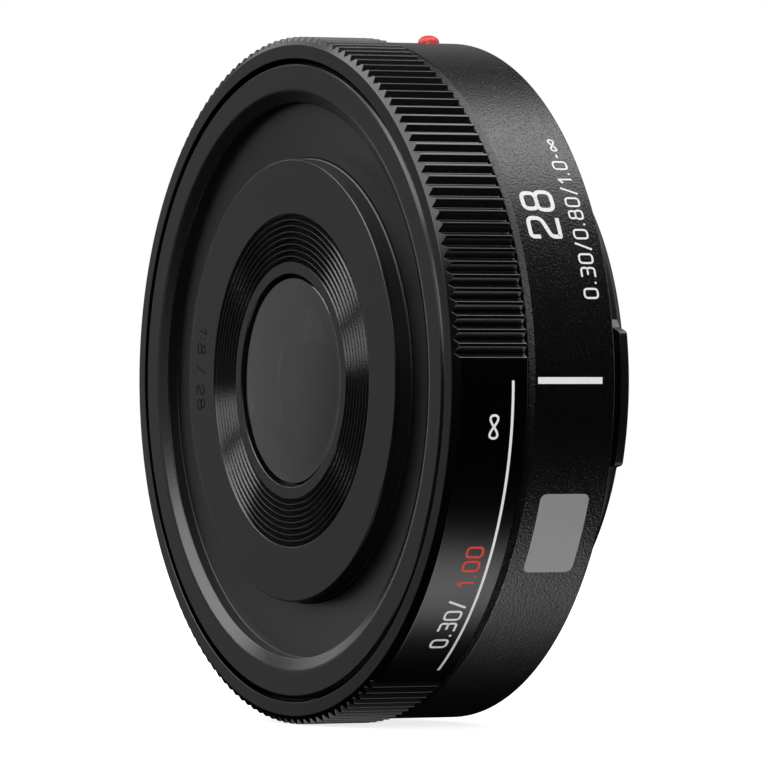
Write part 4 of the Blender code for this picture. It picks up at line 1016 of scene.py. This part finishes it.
# Front glass: the first lens, a shallow meniscus, ground and polished, with an anti-reflection coat. It is
# set in the cell just inside the plate.
lens("front_glass", "front_element", coated_glass, radius=10.0, rear_s=15.55, front_s=17.75,
     front_crown=0.3, rear_crown=0.8, front_rim=0.0, rear_rim=2.4)

# Studio: a plain white floor, a reflecting tent that only shiny surfaces see, soft lamps, and a level camera
# at the photograph's angle.
FLOOR_HALF = 1500.0
FLOOR_GAP = 0.03
floor_z = cad_box[0][2] / MM - FLOOR_GAP
floor_points = np.array([(-1, -1, 0), (1, -1, 0), (1, 1, 0), (-1, 1, 0)]) * FLOOR_HALF + (0, 0, floor_z)
floor_white = bpy.data.materials.new("floor_white")
floor_white.use_nodes = True
tree = floor_white.node_tree
tree.nodes.clear()


def background_rays(tree):
    """1 for the rays that see the background: from the camera, off a shiny surface or through glass."""
    rays = wired(tree, "LightPath").outputs
    direct = {0: rays["Is Camera Ray"], 1: rays["Is Glossy Ray"]}
    seen = wired(tree, "Math", direct, operation="MAXIMUM").outputs[0]
    return wired(tree, "Math", {0: seen, 1: rays["Is Transmission Ray"]}, operation="MAXIMUM").outputs[0]


glow_share = wired(tree, "Math", {0: background_rays(tree), 1: 0.8}, operation="MULTIPLY").outputs[0]
glow = wired(tree, "Emission", {"Color": (1, 1, 1, 1), "Strength": glow_share})
paper = wired(tree, "BsdfDiffuse", {"Color": (0.7, 0.7, 0.7, 1)})
both = wired(tree, "AddShader", {0: glow.outputs[0], 1: paper.outputs[0]})
wired(tree, "OutputMaterial", {"Surface": both.outputs[0]})
floor = made("floor", floor_points, [[0, 1, 2, 3]], floor_white)

# Each of the tent's lights is the way to it, the angles at which it fades out and is full, and its strength.
TENT_R = 3000.0
TENT_ROWS = 25
TENT_STEPS = 48
TENT_BASE = 0.003
TENT_LIGHTS = [
    ((-0.40, -0.69, 0.60), 29, 25, 3.42),
    ((0.07, 0.46, 0.89), 22, 9, 5.06),
    ((0.12, 0.02, 0.99), 19, 7, 2.44),
    ((0.13, -0.34, 0.93), 30, 15, 4.01),
    ((0.75, -0.50, 0.43), 21, 8, 2.76),
    ((0.31, 0.17, -0.93), 27, 6, 3.68),
    ((-0.94, -0.30, 0.19), 29, 12, 0.30),
    ((-0.91, -0.17, 0.38), 17, 6, 0.82),
    ((-0.51, -0.85, 0.15), 23, 11, 0.38),
    ((-0.76, 0.56, 0.32), 21, 8, 0.35),
    ((-0.99, -0.12, 0.0), 9, 4, 0.5),
    ((0.05, 0.95, 0.30), 32, 12, 1.2),
]
tent_glow = bpy.data.materials.new("tent_glow")
tent_glow.use_nodes = True
tree = tent_glow.node_tree
tree.nodes.clear()
tent_place = wired(tree, "TexCoord").outputs["Object"]
tent_way = wired(tree, "VectorMath", {0: tent_place}, operation="NORMALIZE").outputs[0]
level = TENT_BASE
for way, edge, core, strength in TENT_LIGHTS:
    way_to = np.array(way) / np.linalg.norm(way)
    facing = wired(tree, "VectorMath", {0: tent_way, 1: way_to}, operation="DOT_PRODUCT")
    share = wired(tree, "MapRange", {
        "Value": facing.outputs["Value"], "From Min": math.cos(math.radians(edge)),
        "From Max": math.cos(math.radians(core)), "To Min": 0.0, "To Max": strength,
    }, interpolation_type="SMOOTHSTEP")
    level = wired(tree, "Math", {0: level, 1: share.outputs["Result"]}, operation="ADD").outputs[0]
tent_shine = wired(tree, "Emission", {"Color": (1, 1, 1, 1), "Strength": level})
wired(tree, "OutputMaterial", {"Surface": tent_shine.outputs[0]})
tent_turn = np.linspace(0, math.pi, TENT_ROWS)
tent_profile = np.stack([np.sin(tent_turn), np.cos(tent_turn)], -1) * TENT_R
tent_profile[[0, -1], 0] = 0.0
tent_faces = woven(TENT_ROWS, TENT_STEPS, wrap_rows=False)
tent = made("tent", spun(tent_profile, TENT_STEPS), tent_faces, tent_glow)
for kind in ("camera", "diffuse", "transmission", "volume_scatter", "shadow"):
    setattr(tent, "visible_" + kind, False)
floor.visible_glossy = False


def lamp(name, place, size, power):
    """A square soft lamp that looks at the lens, for its dull surfaces only: the tent gives the shine. It
    tilts by the angle between straight down and its aim, and turns to the aim's heading."""
    light = bpy.data.lights.new(name, "AREA")
    light.size = size
    light.energy = power
    held = bpy.data.objects.new(name, light)
    held.location = place
    held.visible_glossy = False
    aim = -np.array(place, float)
    tilt = math.acos(-aim[2] / np.linalg.norm(aim))
    held.rotation_euler = (tilt, 0, math.atan2(aim[1], aim[0]) - math.pi / 2)
    bpy.context.scene.collection.objects.link(held)


LAMP_POWER = 4.5
lamp("key_lamp", place=(-0.55, -0.65, 0.55), size=0.6, power=LAMP_POWER)
lamp("side_lamp", place=(0.75, -0.60, 0.35), size=0.5, power=LAMP_POWER)
lamp("top_lamp", place=(0.05, 0.35, 0.85), size=0.6, power=LAMP_POWER)

world = bpy.data.worlds.new("studio")
bpy.context.scene.world = world
world.use_nodes = True
tree = world.node_tree
tree.nodes.clear()
air = wired(tree, "Background", {"Color": (1, 1, 1, 1), "Strength": 0.35})
white = wired(tree, "Background", {"Color": (1, 1, 1, 1), "Strength": 1.0})
seen = wired(tree, "MixShader", {0: background_rays(tree), 1: air.outputs[0], 2: white.outputs[0]})
wired(tree, "OutputWorld", {"Surface": seen.outputs[0]})

CAMERA_AWAY = 0.865
CAMERA_TURN = math.radians(61.25)
CAMERA_PAN = math.radians(0.4477)
CAMERA_TILT = math.radians(0.0228)
camera_data = bpy.data.cameras.new("camera")
camera_data.sensor_width = 36.0
camera_data.lens = 412.125
camera = bpy.data.objects.new("camera", camera_data)
camera.location = (CAMERA_AWAY * math.sin(CAMERA_TURN), -CAMERA_AWAY * math.cos(CAMERA_TURN), 0)
camera.rotation_euler = (math.pi / 2 - CAMERA_TILT, 0, CAMERA_TURN + CAMERA_PAN)
bpy.context.scene.collection.objects.link(camera)
bpy.context.scene.camera = camera
bpy.context.scene.view_settings.view_transform = "Standard"
